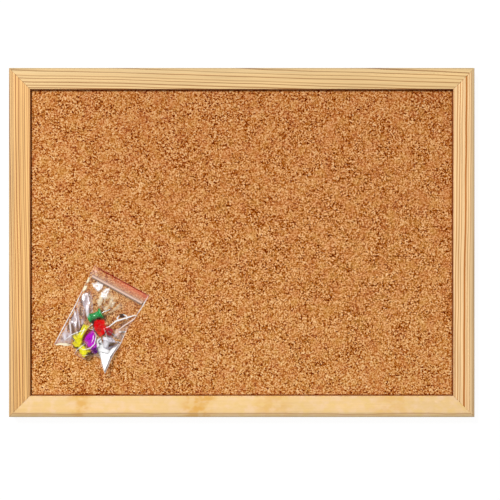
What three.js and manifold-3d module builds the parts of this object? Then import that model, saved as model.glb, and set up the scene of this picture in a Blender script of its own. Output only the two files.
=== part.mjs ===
// Framed cork pin board with a small press-to-close bag of push pins lying on its face.
// Millimetres, +Z up. The board lies face up with its back on Z = 0 and its centre on the Z axis,
// +X along its length and +Y towards the rail that is at the top when it hangs.
import * as THREE from "three";
import { mergeVertices } from "three/addons/utils/BufferGeometryUtils.js";
import Module from "manifold-3d";

const wasm = await Module();
wasm.setup();

// Frame
const BOARD_WIDTH = 400;
const BOARD_HEIGHT = 300;
const RAIL_FACE = 18.5;
const RAIL_DEPTH = 17;
const LIP_THICKNESS = 4;
const REBATE_WIDTH = 6;
const EDGE_WIDTH = 4.5;
const EDGE_DROP = 3;
const EDGE_RADIUS = 10;
const INNER_ROUND = 0.4;
const BACK_CHAMFER = 0.6;
const MITRE_GAP = 0.2;

// Panel
const CORK_THICKNESS = 2.5;
const CORE_THICKNESS = 5;
const BACK_THICKNESS = 2;
const PANEL_CLEARANCE = 0.5;
const SEAT_GAP = 0.2;
const FIT_GAP = 0.3;

// Wedge nails that draw the mitres together from behind
const WEDGE_LEG = 5;
const WEDGE_THICKNESS = 0.9;
const WEDGE_HEIGHT = 8;
const WEDGE_FROM_EDGE = 4;
const WEDGE_SUNK = 0.5;

// Flat points that hold the panel in the rebate
const POINT_LENGTH = 14;
const POINT_WIDTH = 6;
const POINT_THICKNESS = 0.6;
const POINT_DRIVEN = 6;
const POINT_TIP = 3;
const POINTS_ON_LONG_RAIL = 3;
const POINTS_ON_SHORT_RAIL = 2;

// Toothed hangers nailed to the back panel
const HANGER_LENGTH = 45;
const HANGER_WIDTH = 9;
const HANGER_THICKNESS = 0.7;
const HANGER_RAISE = 0.9;
const HANGER_BEND = 1.5;
const HANGER_PAD = 8;
const HANGER_FROM_TOP = 32;
const HANGER_FROM_SIDE = 95;
const TOOTH_PITCH = 3;
const TOOTH_DEPTH = 2;
const NAIL_RADIUS = 0.8;
const NAIL_HEAD_RADIUS = 2;
const NAIL_HEAD_HEIGHT = 0.6;
const NAIL_GRIP = 3;

// Push pins
const PIN_HEAD_LENGTH = 12.5;
const PIN_BASE_RADIUS = 4.6;
const PIN_COLLAR = 1.8;
const PIN_WAIST_RADIUS = 2.7;
const PIN_TOP_RADIUS = 4.3;
const PIN_KNOB = 3.2;
const PIN_EDGE_ROUND = 0.5;
const HEAD_TO_BASE = 2.7;
const NEEDLE_RADIUS = 0.55;
const NEEDLE_LENGTH = 10;
const NEEDLE_TAPER = 2.5;
const NEEDLE_DRIVEN = 6;

// Bag
const BAG_WIDTH = 54;
const BAG_LENGTH = 78;
const BAG_TURN_DEGREES = -28.5;
const BAG_FROM_LEFT_RAIL = 60.5;
const BAG_FROM_BOTTOM_RAIL = 65.5;
const FILM_THICKNESS = 0.3;
const SIDE_WELD = 0.8;
const BAG_SHOULDER = 6.6;
const PIN_PLAY = 5;
const FILM_HEADROOM = 0.7;
const BOTTOM_ARCH = 1.5;
const BOTTOM_SHOULDER = 3;
const POUCH_RUN_OUT = 6;
const ZIP_FROM_TOP = 10;
const ZIP_LENGTH = 48;
const ZIP_WIDTH = 2.4;
const ZIP_HEIGHT = 2;
const ZIP_WALL = 0.35;
const ZIP_HOOK = 0.3;
const ZIP_SLACK = 0.12;
const ZIP_SHOULDER = 2;
const ZIP_APRON = 3;
const GRIP_FROM_TOP = 1.5;
const GRIP_WIDTH = 0.6;
const GRIP_HEIGHT = 0.3;

// Each pin: colour, place of its head's middle in head lengths, across from the bag's middle line and up
// from the pouch's bottom, and the way that its head points.
const PINS = [
  { name: "green", colour: 0x1f9a4a, across: -0.43, up: 3, heading: 232 },
  { name: "red", colour: 0xd3141c, across: 0.33, up: 2.51, heading: 178 },
  { name: "magenta", colour: 0xb415b0, across: 0.235, up: 1.34, heading: 148 },
  { name: "white", colour: 0xf2f0f2, across: 1.16, up: 1.63, heading: 105 },
  { name: "yellow", colour: 0xf3dc1f, across: -0.72, up: 1.425, heading: 248 },
  { name: "second_yellow", colour: 0xf3dc1f, across: -0.1, up: 0.57, heading: 340 },
];

// How many flats make up a round
const ROUND_STEPS = 6;

// Worked out from the sizes above
const LIP_UNDERSIDE = RAIL_DEPTH - LIP_THICKNESS;
const REBATE_WALL = RAIL_FACE - REBATE_WIDTH;
const PANEL_WIDTH = BOARD_WIDTH - 2 * (REBATE_WALL + PANEL_CLEARANCE);
const PANEL_HEIGHT = BOARD_HEIGHT - 2 * (REBATE_WALL + PANEL_CLEARANCE);
const CORK_TOP = LIP_UNDERSIDE - SEAT_GAP;
const CORE_TOP = CORK_TOP - CORK_THICKNESS - SEAT_GAP;
const BACK_TOP = CORE_TOP - CORE_THICKNESS - SEAT_GAP;
const BACK_FACE = BACK_TOP - BACK_THICKNESS;
const QUARTER = Math.PI / 2;

const board = new THREE.Group();

function finish(color, roughness, metalness = 0) {
  return new THREE.MeshStandardMaterial({ color, roughness, metalness });
}

function addPiece(parent, name, geometry, material) {
  const mesh = new THREE.Mesh(geometry, material);
  mesh.name = name;
  parent.add(mesh);
  return mesh;
}

// Booleans on closed geometries
function toSolid(geometry) {
  const bare = geometry.clone();
  bare.deleteAttribute("normal");
  bare.deleteAttribute("uv");
  const merged = mergeVertices(bare, 1e-4);
  return new wasm.Manifold(
    new wasm.Mesh({
      numProp: 3,
      vertProperties: new Float32Array(merged.attributes.position.array),
      triVerts: new Uint32Array(merged.index.array),
    }),
  );
}

function toGeometry(solid) {
  const mesh = solid.getMesh();
  const geometry = new THREE.BufferGeometry();
  geometry.setAttribute("position", new THREE.BufferAttribute(mesh.vertProperties, 3));
  geometry.setIndex(new THREE.BufferAttribute(mesh.triVerts, 1));
  geometry.computeVertexNormals();
  return geometry;
}

function cutAway(geometry, cutters) {
  const cut = cutters.reduce((solid, cutter) => solid.subtract(toSolid(cutter)), toSolid(geometry));
  return toGeometry(cut);
}

function sheet(width, height, bottom, top) {
  const geometry = new THREE.BoxGeometry(width, height, top - bottom);
  return geometry.translate(0, 0, (top + bottom) / 2);
}

function plate(shape, bottom, top) {
  const geometry = new THREE.ExtrudeGeometry(shape, {
    depth: top - bottom,
    bevelEnabled: false,
    curveSegments: ROUND_STEPS,
  });
  return geometry.translate(0, 0, bottom);
}

// A wedge nail seen from behind is an L whose corner sits on the mitre line, with a leg in each rail.
function wedgeGeometry(grow, bottom, top) {
  const inner = WEDGE_THICKNESS + grow;
  const reach = WEDGE_LEG + grow;
  const shape = new THREE.Shape();
  shape.moveTo(-grow, -grow);
  shape.lineTo(reach, -grow);
  shape.lineTo(reach, inner);
  shape.lineTo(inner, inner);
  shape.lineTo(inner, reach);
  shape.lineTo(-grow, reach);
  shape.closePath();
  return plate(shape, bottom, top).translate(WEDGE_FROM_EDGE, WEDGE_FROM_EDGE, 0);
}

// A flat point lies under the panel with its sharp end in the rebate wall, which is at y = 0 here.
function pointGeometry() {
  const half = POINT_WIDTH / 2;
  const tail = POINT_LENGTH - POINT_DRIVEN;
  const shape = new THREE.Shape();
  shape.moveTo(0, -POINT_DRIVEN);
  shape.lineTo(half, POINT_TIP - POINT_DRIVEN);
  shape.lineTo(half, tail - POINT_TIP / 2);
  shape.lineTo(half / 2, tail);
  shape.lineTo(-half / 2, tail);
  shape.lineTo(-half, tail - POINT_TIP / 2);
  shape.lineTo(-half, POINT_TIP - POINT_DRIVEN);
  shape.closePath();
  const top = BACK_FACE - SEAT_GAP;
  return plate(shape, top - POINT_THICKNESS, top);
}

function pointSlot() {
  const width = POINT_WIDTH + 2 * FIT_GAP;
  const depth = POINT_DRIVEN + 2 * FIT_GAP;
  const top = BACK_FACE - SEAT_GAP + FIT_GAP;
  const bottom = BACK_FACE - SEAT_GAP - POINT_THICKNESS - FIT_GAP;
  return sheet(width, depth, bottom, top).translate(0, -depth / 2 + FIT_GAP, 0);
}

function evenPlaces(count, span) {
  return Array.from({ length: count }, (_, i) => ((i + 0.5) / count - 0.5) * span);
}

// The eased outer edge is a shallow arc that breaks from the face at a crisp line and runs to the side.
function addEasedEdge(shape) {
  const chord = new THREE.Vector2(-EDGE_WIDTH, -EDGE_DROP);
  const toCentre = Math.sqrt(EDGE_RADIUS ** 2 - (chord.length() / 2) ** 2);
  const inwards = new THREE.Vector2(EDGE_DROP, -EDGE_WIDTH).normalize();
  const centre = new THREE.Vector2(EDGE_WIDTH, RAIL_DEPTH);
  centre.addScaledVector(chord, 0.5).addScaledVector(inwards, toCentre);
  const start = Math.atan2(RAIL_DEPTH - centre.y, EDGE_WIDTH - centre.x);
  const end = Math.atan2(RAIL_DEPTH - EDGE_DROP - centre.y, -centre.x);
  shape.lineTo(EDGE_WIDTH, RAIL_DEPTH);
  shape.absarc(centre.x, centre.y, EDGE_RADIUS, start, end, false);
}

// Rail section: u runs in from the outer edge, v up from the back.
function railSection() {
  const shape = new THREE.Shape();
  shape.moveTo(BACK_CHAMFER, 0);
  shape.lineTo(REBATE_WALL, 0);
  shape.lineTo(REBATE_WALL, LIP_UNDERSIDE);
  shape.lineTo(RAIL_FACE, LIP_UNDERSIDE);
  const innerV = RAIL_DEPTH - INNER_ROUND;
  shape.lineTo(RAIL_FACE, innerV);
  shape.absarc(RAIL_FACE - INNER_ROUND, innerV, INNER_ROUND, 0, QUARTER, false);
  addEasedEdge(shape);
  shape.lineTo(0, BACK_CHAMFER);
  shape.closePath();
  return shape;
}

// A rail lies along X below the centre: its section is swept, and both ends are drawn in by the distance
// from the outer edge, which makes the two mitres.
function railGeometry(length, toOuterEdge, pointPlaces) {
  const swept = new THREE.ExtrudeGeometry(railSection(), {
    depth: length,
    bevelEnabled: false,
    curveSegments: ROUND_STEPS,
  });
  const position = swept.attributes.position;
  for (let i = 0; i < position.count; i++) {
    const drawIn = position.getX(i) + MITRE_GAP / 2;
    const along = position.getZ(i);
    position.setZ(i, along < length / 2 ? along + drawIn : along - drawIn);
  }
  const sectionToRail = new THREE.Matrix4().makeBasis(
    new THREE.Vector3(0, 1, 0),
    new THREE.Vector3(0, 0, 1),
    new THREE.Vector3(1, 0, 0),
  );
  swept.applyMatrix4(sectionToRail).translate(-length / 2, -toOuterEdge, 0);
  const wedgeTop = WEDGE_SUNK + WEDGE_HEIGHT + FIT_GAP;
  const leftWedge = wedgeGeometry(FIT_GAP, -1, wedgeTop);
  const rightWedge = wedgeGeometry(FIT_GAP, -1, wedgeTop).rotateZ(QUARTER);
  const slots = pointPlaces.map((x) => pointSlot().translate(x, REBATE_WALL - toOuterEdge, 0));
  return cutAway(swept, [
    leftWedge.translate(-length / 2, -toOuterEdge, 0),
    rightWedge.translate(length / 2, -toOuterEdge, 0),
    ...slots,
  ]);
}

function addFrame() {
  const longPlaces = evenPlaces(POINTS_ON_LONG_RAIL, PANEL_WIDTH);
  const shortPlaces = evenPlaces(POINTS_ON_SHORT_RAIL, PANEL_HEIGHT);
  const sides = [
    { name: "bottom", turn: 0, length: BOARD_WIDTH, out: BOARD_HEIGHT / 2, places: longPlaces },
    { name: "right", turn: 1, length: BOARD_HEIGHT, out: BOARD_WIDTH / 2, places: shortPlaces },
    { name: "top", turn: 2, length: BOARD_WIDTH, out: BOARD_HEIGHT / 2, places: longPlaces },
    { name: "left", turn: 3, length: BOARD_HEIGHT, out: BOARD_WIDTH / 2, places: shortPlaces },
  ];
  for (const side of sides) {
    const group = new THREE.Group();
    group.rotation.z = side.turn * QUARTER;
    board.add(group);
    const geometry = railGeometry(side.length, side.out, side.places);
    addPiece(group, `${side.name}_rail`, geometry, finish(0xe8c08a, 0.55));
    side.places.forEach((x, i) => {
      const name = `${side.name}_panel_point_${i + 1}`;
      const point = addPiece(group, name, pointGeometry(), finish(0xb9bcc0, 0.35, 1));
      point.position.set(x, REBATE_WALL - side.out, 0);
    });
    const wedgeName = `${side.name}_rail_corner_wedge`;
    const wedge = wedgeGeometry(0, WEDGE_SUNK, WEDGE_SUNK + WEDGE_HEIGHT);
    const corner = addPiece(group, wedgeName, wedge, finish(0xa9adb2, 0.4, 1));
    corner.position.set(-side.length / 2, -side.out, 0);
  }
}

// Hangers and their nails
const HANGER_TOP = BACK_FACE - SEAT_GAP;
const HANGER_X = BOARD_WIDTH / 2 - HANGER_FROM_SIDE;
const HANGER_Y = BOARD_HEIGHT / 2 - HANGER_FROM_TOP;
const HANGER_NAIL_OFFSET = HANGER_LENGTH / 2 - HANGER_PAD / 2;
const NAIL_SEAT = HANGER_TOP - HANGER_THICKNESS - SEAT_GAP;
const NAIL_END = CORE_TOP - CORE_THICKNESS + NAIL_GRIP;
const NAIL_PLACES = [-HANGER_X, HANGER_X].flatMap((x) => [x - HANGER_NAIL_OFFSET, x + HANGER_NAIL_OFFSET]);

// Seen from the edge the strip steps away from the panel between its two end pads.
function hangerGeometry() {
  const end = HANGER_LENGTH / 2;
  const pad = end - HANGER_PAD;
  const raised = pad - HANGER_BEND;
  const low = -HANGER_THICKNESS;
  const edge = new THREE.Shape();
  edge.moveTo(-end, low);
  edge.lineTo(-pad, low);
  edge.lineTo(-raised, low - HANGER_RAISE);
  edge.lineTo(raised, low - HANGER_RAISE);
  edge.lineTo(pad, low);
  edge.lineTo(end, low);
  edge.lineTo(end, 0);
  edge.lineTo(pad, 0);
  edge.lineTo(raised, -HANGER_RAISE);
  edge.lineTo(-raised, -HANGER_RAISE);
  edge.lineTo(-pad, 0);
  edge.lineTo(-end, 0);
  edge.closePath();
  const strip = plate(edge, -HANGER_WIDTH / 2, HANGER_WIDTH / 2).rotateX(QUARTER);
  const reach = 2 * (HANGER_THICKNESS + HANGER_RAISE);
  const notch = new THREE.Shape();
  const overshoot = 1;
  notch.moveTo(-TOOTH_PITCH / 2, -overshoot);
  notch.lineTo(TOOTH_PITCH / 2, -overshoot);
  notch.lineTo(0, TOOTH_DEPTH);
  notch.closePath();
  const notchCount = Math.floor((2 * raised) / TOOTH_PITCH);
  const notches = evenPlaces(notchCount, notchCount * TOOTH_PITCH).map((x) =>
    plate(notch, -reach, reach).translate(x, -HANGER_WIDTH / 2, 0),
  );
  const nailPlaces = [-HANGER_NAIL_OFFSET, HANGER_NAIL_OFFSET];
  const holes = nailPlaces.map((x) => nailHole(-reach, reach).translate(x, 0, 0));
  return cutAway(strip, [...notches, ...holes]);
}

function nailHole(bottom, top) {
  const radius = NAIL_RADIUS + FIT_GAP;
  const hole = new THREE.CylinderGeometry(radius, radius, top - bottom, 12);
  return hole.rotateX(QUARTER).translate(0, 0, (top + bottom) / 2);
}

function nailGeometry() {
  const shank = NAIL_END - NAIL_SEAT;
  const profile = new THREE.Path();
  profile.moveTo(0, -NAIL_HEAD_HEIGHT);
  profile.quadraticCurveTo(NAIL_HEAD_RADIUS, -NAIL_HEAD_HEIGHT, NAIL_HEAD_RADIUS, 0);
  profile.lineTo(NAIL_RADIUS, 0);
  profile.lineTo(NAIL_RADIUS, shank - 2 * NAIL_RADIUS);
  profile.lineTo(0, shank);
  return new THREE.LatheGeometry(profile.getPoints(4), 12).rotateX(QUARTER);
}

function addHangers() {
  for (const [side, x] of [["left", HANGER_X], ["right", -HANGER_X]]) {
    const group = new THREE.Group();
    group.position.set(x, HANGER_Y, HANGER_TOP);
    board.add(group);
    const hanger = `${side}_hanger`;
    addPiece(group, hanger, hangerGeometry(), finish(0xb9bcc0, 0.35, 1));
    [-HANGER_NAIL_OFFSET, HANGER_NAIL_OFFSET].forEach((offset, i) => {
      const nail = addPiece(group, `${hanger}_nail_${i + 1}`, nailGeometry(), finish(0xb9bcc0, 0.35, 1));
      nail.position.set(offset, 0, NAIL_SEAT - HANGER_TOP);
    });
  }
}

function addPanel() {
  const cork = sheet(PANEL_WIDTH, PANEL_HEIGHT, CORK_TOP - CORK_THICKNESS, CORK_TOP);
  addPiece(board, "cork_sheet", cork, finish(0xc58248, 0.95));
  const holeIn = (bottom, top) => (x) => nailHole(bottom, top).translate(x, HANGER_Y, 0);
  const core = sheet(PANEL_WIDTH, PANEL_HEIGHT, CORE_TOP - CORE_THICKNESS, CORE_TOP);
  const coreHoles = NAIL_PLACES.map(holeIn(BACK_TOP, NAIL_END + FIT_GAP));
  addPiece(board, "softboard_core", cutAway(core, coreHoles), finish(0xa98a62, 0.95));
  const back = sheet(PANEL_WIDTH, PANEL_HEIGHT, BACK_FACE, BACK_TOP);
  const backHoles = NAIL_PLACES.map(holeIn(BACK_FACE - 1, BACK_TOP + 1));
  addPiece(board, "hardboard_back", cutAway(back, backHoles), finish(0x6e4a2c, 0.7));
}

// Push pin, turned about its own axis along Y, with the middle of its head at the origin and its needle
// towards -Y.
function pinHeadGeometry() {
  const base = -PIN_HEAD_LENGTH / 2;
  const top = PIN_HEAD_LENGTH / 2;
  const bore = NEEDLE_RADIUS + FIT_GAP;
  const collar = base + PIN_COLLAR;
  const knob = top - PIN_KNOB;
  const round = PIN_EDGE_ROUND;
  const middle = (collar + knob) / 2;
  const profile = new THREE.Path();
  profile.moveTo(0, base + NEEDLE_DRIVEN + FIT_GAP);
  profile.lineTo(bore, base + NEEDLE_DRIVEN + FIT_GAP);
  profile.lineTo(bore, base);
  profile.lineTo(PIN_BASE_RADIUS - round, base);
  profile.quadraticCurveTo(PIN_BASE_RADIUS, base, PIN_BASE_RADIUS, base + round);
  profile.lineTo(PIN_BASE_RADIUS, collar - round);
  profile.quadraticCurveTo(PIN_BASE_RADIUS, collar, PIN_BASE_RADIUS - round, collar);
  profile.quadraticCurveTo(PIN_WAIST_RADIUS, collar, PIN_WAIST_RADIUS, middle);
  profile.quadraticCurveTo(PIN_WAIST_RADIUS, knob, PIN_TOP_RADIUS, knob + round);
  profile.lineTo(PIN_TOP_RADIUS, top - round);
  profile.quadraticCurveTo(PIN_TOP_RADIUS, top, PIN_TOP_RADIUS - round, top);
  profile.lineTo(0, top);
  return new THREE.LatheGeometry(profile.getPoints(3), 20);
}

function needleGeometry() {
  const base = -PIN_HEAD_LENGTH / 2;
  const profile = new THREE.Path();
  profile.moveTo(0, base - NEEDLE_LENGTH);
  profile.lineTo(NEEDLE_RADIUS, base - NEEDLE_LENGTH + NEEDLE_TAPER);
  profile.lineTo(NEEDLE_RADIUS, base + NEEDLE_DRIVEN);
  profile.lineTo(0, base + NEEDLE_DRIVEN);
  return new THREE.LatheGeometry(profile.getPoints(1), 8);
}

// Bag film: flat behind, and in front a pouch over the pins that comes down to the welded sides, the
// bottom fold and the press-to-close strip.
const BAG_HALF_WIDTH = BAG_WIDTH / 2;
const BAG_HALF_LENGTH = BAG_LENGTH / 2;
const ZIP_Y = BAG_HALF_LENGTH - ZIP_FROM_TOP;
const WELD_X = BAG_HALF_WIDTH - SIDE_WELD;
const POUCH_BOTTOM = -BAG_HALF_LENGTH + BOTTOM_ARCH + SIDE_WELD;

// A pin at rest touches the film with the rims of its base and its knob, so its axis dips to the smaller.
const PIN_DIP = Math.atan2(PIN_BASE_RADIUS - PIN_TOP_RADIUS, PIN_HEAD_LENGTH);
const PIN_AXIS_HEIGHT = ((PIN_BASE_RADIUS + PIN_TOP_RADIUS) / 2) * Math.cos(PIN_DIP) + FIT_GAP;
const PIN_ROOM = Math.max(PIN_HEAD_LENGTH, HEAD_TO_BASE * PIN_BASE_RADIUS);

function pinMiddle(pin) {
  return { x: pin.across * PIN_ROOM, y: POUCH_BOTTOM + pin.up * PIN_ROOM };
}

function needleTipY(pin) {
  const toTip = PIN_HEAD_LENGTH / 2 + NEEDLE_LENGTH;
  return pinMiddle(pin).y - toTip * Math.sin(THREE.MathUtils.degToRad(pin.heading));
}

// The film keeps its full height until it is near the furthest needle, which lies at half that height.
const PINS_REACH = Math.max(...PINS.map(needleTipY));
const POUCH_TOP = PINS_REACH + PIN_PLAY - POUCH_RUN_OUT;
const POUCH_HEIGHT = 2 * PIN_AXIS_HEIGHT + FILM_HEADROOM;

function ease(t) {
  const clamped = THREE.MathUtils.clamp(t, 0, 1);
  return clamped * clamped * (3 - 2 * clamped);
}

// Full height inside, then a round shoulder down to nothing over the given width.
function shoulder(distanceInside, width) {
  const t = THREE.MathUtils.clamp(1 - distanceInside / width, 0, 1);
  return (1 - t * t) ** 0.6;
}

function filmHeight(x, y) {
  const inFromWeld = WELD_X - Math.abs(x);
  const overPins = shoulder(y - POUCH_BOTTOM, BOTTOM_SHOULDER);
  const towardsZip = 1 - ease((y - POUCH_TOP) / (ZIP_Y - ZIP_APRON - POUCH_TOP));
  const pouch = POUCH_HEIGHT * shoulder(inFromWeld, BAG_SHOULDER) * overPins * towardsZip;
  const fromZip = Math.abs(y - ZIP_Y) - ZIP_APRON;
  const lip = ZIP_FROM_TOP - ZIP_APRON;
  const overZip = 1 - ease(fromZip / lip);
  const strip = (ZIP_HEIGHT + SEAT_GAP) * shoulder(inFromWeld, ZIP_SHOULDER) * overZip;
  return Math.max(pouch, strip);
}

function filmGeometry(height) {
  const across = 22;
  const along = 30;
  const film = new THREE.BoxGeometry(2, 2, FILM_THICKNESS, across, along, 1);
  const position = film.attributes.position;
  for (let i = 0; i < position.count; i++) {
    const x = BAG_HALF_WIDTH * Math.sin(position.getX(i) * QUARTER);
    const y = BAG_HALF_LENGTH * Math.sin(position.getY(i) * QUARTER);
    const arch = BOTTOM_ARCH * (1 - (x / BAG_HALF_WIDTH) ** 2) * ease(-y / BAG_HALF_LENGTH);
    const z = position.getZ(i) + FILM_THICKNESS / 2 + height(x, y + arch);
    position.setXYZ(i, x, y + arch, z);
  }
  return film;
}

// The strip's two halves: a channel with hooked walls on the back film, and a barbed rib on the front one
// that snaps in behind the hooks.
function zipHalf(section) {
  const geometry = plate(section, -ZIP_LENGTH / 2, ZIP_LENGTH / 2);
  const acrossToBag = new THREE.Matrix4().makeBasis(
    new THREE.Vector3(0, 1, 0),
    new THREE.Vector3(0, 0, 1),
    new THREE.Vector3(1, 0, 0),
  );
  return geometry.applyMatrix4(acrossToBag).translate(0, ZIP_Y, FILM_THICKNESS);
}

const ZIP_FLOOR = SEAT_GAP;
const CHANNEL_TOP = ZIP_HEIGHT - ZIP_WALL - ZIP_SLACK;

function channelSection() {
  const half = ZIP_WIDTH / 2;
  const inside = half - ZIP_WALL;
  const mouth = inside - ZIP_HOOK;
  const floor = ZIP_FLOOR + ZIP_WALL;
  const underHook = CHANNEL_TOP - ZIP_WALL;
  const shape = new THREE.Shape();
  shape.moveTo(-half, ZIP_FLOOR);
  shape.lineTo(half, ZIP_FLOOR);
  shape.lineTo(half, CHANNEL_TOP);
  shape.lineTo(mouth, CHANNEL_TOP);
  shape.lineTo(mouth, underHook);
  shape.lineTo(inside, underHook);
  shape.lineTo(inside, floor);
  shape.lineTo(-inside, floor);
  shape.lineTo(-inside, underHook);
  shape.lineTo(-mouth, underHook);
  shape.lineTo(-mouth, CHANNEL_TOP);
  shape.lineTo(-half, CHANNEL_TOP);
  shape.closePath();
  return shape;
}

function ribSection() {
  const half = ZIP_WIDTH / 2;
  const mouth = half - ZIP_WALL - ZIP_HOOK;
  const stem = mouth - 2 * ZIP_SLACK;
  const barb = half - ZIP_WALL - ZIP_SLACK;
  const barbTop = CHANNEL_TOP - ZIP_WALL - ZIP_SLACK;
  const tip = ZIP_FLOOR + ZIP_WALL + ZIP_SLACK;
  const shape = new THREE.Shape();
  shape.moveTo(-stem, tip);
  shape.lineTo(stem, tip);
  shape.lineTo(barb, barbTop);
  shape.lineTo(stem, barbTop);
  shape.lineTo(stem, ZIP_HEIGHT - ZIP_WALL);
  shape.lineTo(half, ZIP_HEIGHT - ZIP_WALL);
  shape.lineTo(half, ZIP_HEIGHT);
  shape.lineTo(-half, ZIP_HEIGHT);
  shape.lineTo(-half, ZIP_HEIGHT - ZIP_WALL);
  shape.lineTo(-stem, ZIP_HEIGHT - ZIP_WALL);
  shape.lineTo(-stem, barbTop);
  shape.lineTo(-barb, barbTop);
  shape.closePath();
  return shape;
}

// The coloured finger grip runs along the front lip, on the film.
function gripGeometry() {
  const y = BAG_HALF_LENGTH - GRIP_FROM_TOP;
  const length = ZIP_LENGTH;
  const grip = new THREE.BoxGeometry(length, GRIP_WIDTH, GRIP_HEIGHT);
  const above = filmHeight(0, y - GRIP_WIDTH) + 2 * FILM_THICKNESS + SEAT_GAP;
  return grip.translate(0, y, above + GRIP_HEIGHT / 2);
}

function addPin(bag, pin) {
  const lying = new THREE.Group();
  const { x, y } = pinMiddle(pin);
  lying.position.set(x, y, FILM_THICKNESS + PIN_AXIS_HEIGHT);
  lying.rotation.z = THREE.MathUtils.degToRad(pin.heading - 90);
  bag.add(lying);
  const dipping = new THREE.Group();
  dipping.rotation.x = -PIN_DIP;
  lying.add(dipping);
  addPiece(dipping, `${pin.name}_pin_head`, pinHeadGeometry(), finish(pin.colour, 0.25));
  addPiece(dipping, `${pin.name}_pin_needle`, needleGeometry(), finish(0xc9ccd0, 0.2, 1));
}

function addBag() {
  const bag = new THREE.Group();
  const left = -BOARD_WIDTH / 2 + RAIL_FACE;
  const bottom = -BOARD_HEIGHT / 2 + RAIL_FACE;
  bag.position.set(left + BAG_FROM_LEFT_RAIL, bottom + BAG_FROM_BOTTOM_RAIL, CORK_TOP + SEAT_GAP);
  bag.rotation.z = THREE.MathUtils.degToRad(BAG_TURN_DEGREES);
  board.add(bag);
  addPiece(bag, "bag_back_film", filmGeometry(() => 0), finish(0xf4f6f8, 0.2));
  const overBack = (x, y) => FILM_THICKNESS + filmHeight(x, y);
  addPiece(bag, "bag_front_film", filmGeometry(overBack), finish(0xf4f6f8, 0.2));
  addPiece(bag, "bag_zip_channel", zipHalf(channelSection()), finish(0xf4eeee, 0.35));
  addPiece(bag, "bag_zip_rib", zipHalf(ribSection()), finish(0xf4eeee, 0.35));
  addPiece(bag, "bag_grip_line", gripGeometry(), finish(0xa8232a, 0.4));
  PINS.forEach((pin) => addPin(bag, pin));
}

addFrame();
addPanel();
addHangers();
addBag();

export default board;
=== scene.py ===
# %% [markdown]
# # A framed cork board with its bag of push pins
# A shallow pine frame holds a sheet of granulated cork, and a small clear press-to-close bag of push pins
# lies on it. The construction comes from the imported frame. Here each visible surface gets its finish, and
# the soft or finely rounded pieces get a better mesh that stands in for the plain solid at the same place.

# %% Load the frame
import math

import bmesh
import bpy
import numpy as np
from mathutils import Matrix, Vector
from mathutils.geometry import delaunay_2d_cdt


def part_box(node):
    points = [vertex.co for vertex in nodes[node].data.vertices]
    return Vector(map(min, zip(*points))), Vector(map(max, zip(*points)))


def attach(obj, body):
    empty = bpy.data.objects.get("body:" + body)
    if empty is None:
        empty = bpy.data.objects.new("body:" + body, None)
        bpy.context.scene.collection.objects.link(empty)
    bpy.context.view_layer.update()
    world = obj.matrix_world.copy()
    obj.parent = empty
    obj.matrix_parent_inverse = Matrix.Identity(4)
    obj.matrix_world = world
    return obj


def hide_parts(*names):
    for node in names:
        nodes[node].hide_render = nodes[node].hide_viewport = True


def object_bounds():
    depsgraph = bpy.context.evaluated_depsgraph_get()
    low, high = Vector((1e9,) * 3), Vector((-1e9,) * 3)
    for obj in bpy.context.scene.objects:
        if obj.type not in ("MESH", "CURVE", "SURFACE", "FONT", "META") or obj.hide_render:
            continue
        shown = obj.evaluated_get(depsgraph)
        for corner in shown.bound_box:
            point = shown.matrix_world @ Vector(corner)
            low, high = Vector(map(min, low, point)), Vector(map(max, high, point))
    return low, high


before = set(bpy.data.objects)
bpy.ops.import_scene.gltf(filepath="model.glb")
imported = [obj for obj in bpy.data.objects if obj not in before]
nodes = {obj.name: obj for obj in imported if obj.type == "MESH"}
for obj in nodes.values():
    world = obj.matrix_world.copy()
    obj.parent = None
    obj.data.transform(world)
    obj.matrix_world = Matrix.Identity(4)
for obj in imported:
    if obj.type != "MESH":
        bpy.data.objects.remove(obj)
cad_low, cad_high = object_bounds()
MM = 0.001
print("frame of", len(nodes), "nodes, box", [round(s / MM, 1) for s in cad_high - cad_low], "mm")

# %% [markdown]
# ## Camera
# The board is seen from straight above, so the camera looks down and needs no turning. The width of the
# view at the frame's face and the middle of the picture were measured against the board's own outline.

# %% Camera
VIEW_WIDTH = 428.4 * MM
VIEW_MIDDLE = (7.1 * MM, -6.45 * MM)
LENS = 85
SENSOR = 36
face_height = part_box("top_rail")[1].z

camera_data = bpy.data.cameras.new("camera")
camera_data.lens = LENS
camera_data.sensor_width = SENSOR
camera = bpy.data.objects.new("camera", camera_data)
camera.location = (*VIEW_MIDDLE, face_height + VIEW_WIDTH * LENS / SENSOR)
bpy.context.scene.collection.objects.link(camera)
bpy.context.scene.camera = camera
bpy.context.scene.view_settings.view_transform = "Standard"
print("camera", round(camera.location.z, 3), "m above the floor")

# %% [markdown]
# ## Small helpers for node trees
# Materials and geometry trees are both graphs of nodes. One helper adds a node, sets its properties and
# feeds its inputs, either with a value or from another node's socket, so that a tree reads from top to
# bottom. The others are short names for what the trees need most: sums, smooth steps, noise and mixed
# colours.


# %% Nodes for numbers
def feed(node, feeds):
    """Sets a node's inputs, each from another node's socket or to a plain value."""
    for key, value in feeds.items():
        if isinstance(value, bpy.types.NodeSocket):
            node.id_data.links.new(value, node.inputs[key])
        else:
            node.inputs[key].default_value = value


def add(kind, feeds, tree=None, **settings):
    """Adds a node to the tree of the sockets that feed it, or to a named tree where none do."""
    fed_by = [v.id_data for v in feeds.values() if isinstance(v, bpy.types.NodeSocket)]
    node = (tree or fed_by[0]).nodes.new(kind)
    for name, value in settings.items():
        setattr(node, name, value)
    feed(node, feeds)
    return node


def calculate(operation, *values):
    return add("ShaderNodeMath", dict(enumerate(values)), operation=operation).outputs[0]


def plus(first, second):
    return calculate("ADD", first, second)


def minus(first, second):
    return calculate("SUBTRACT", first, second)


def times(first, second):
    return calculate("MULTIPLY", first, second)


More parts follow.
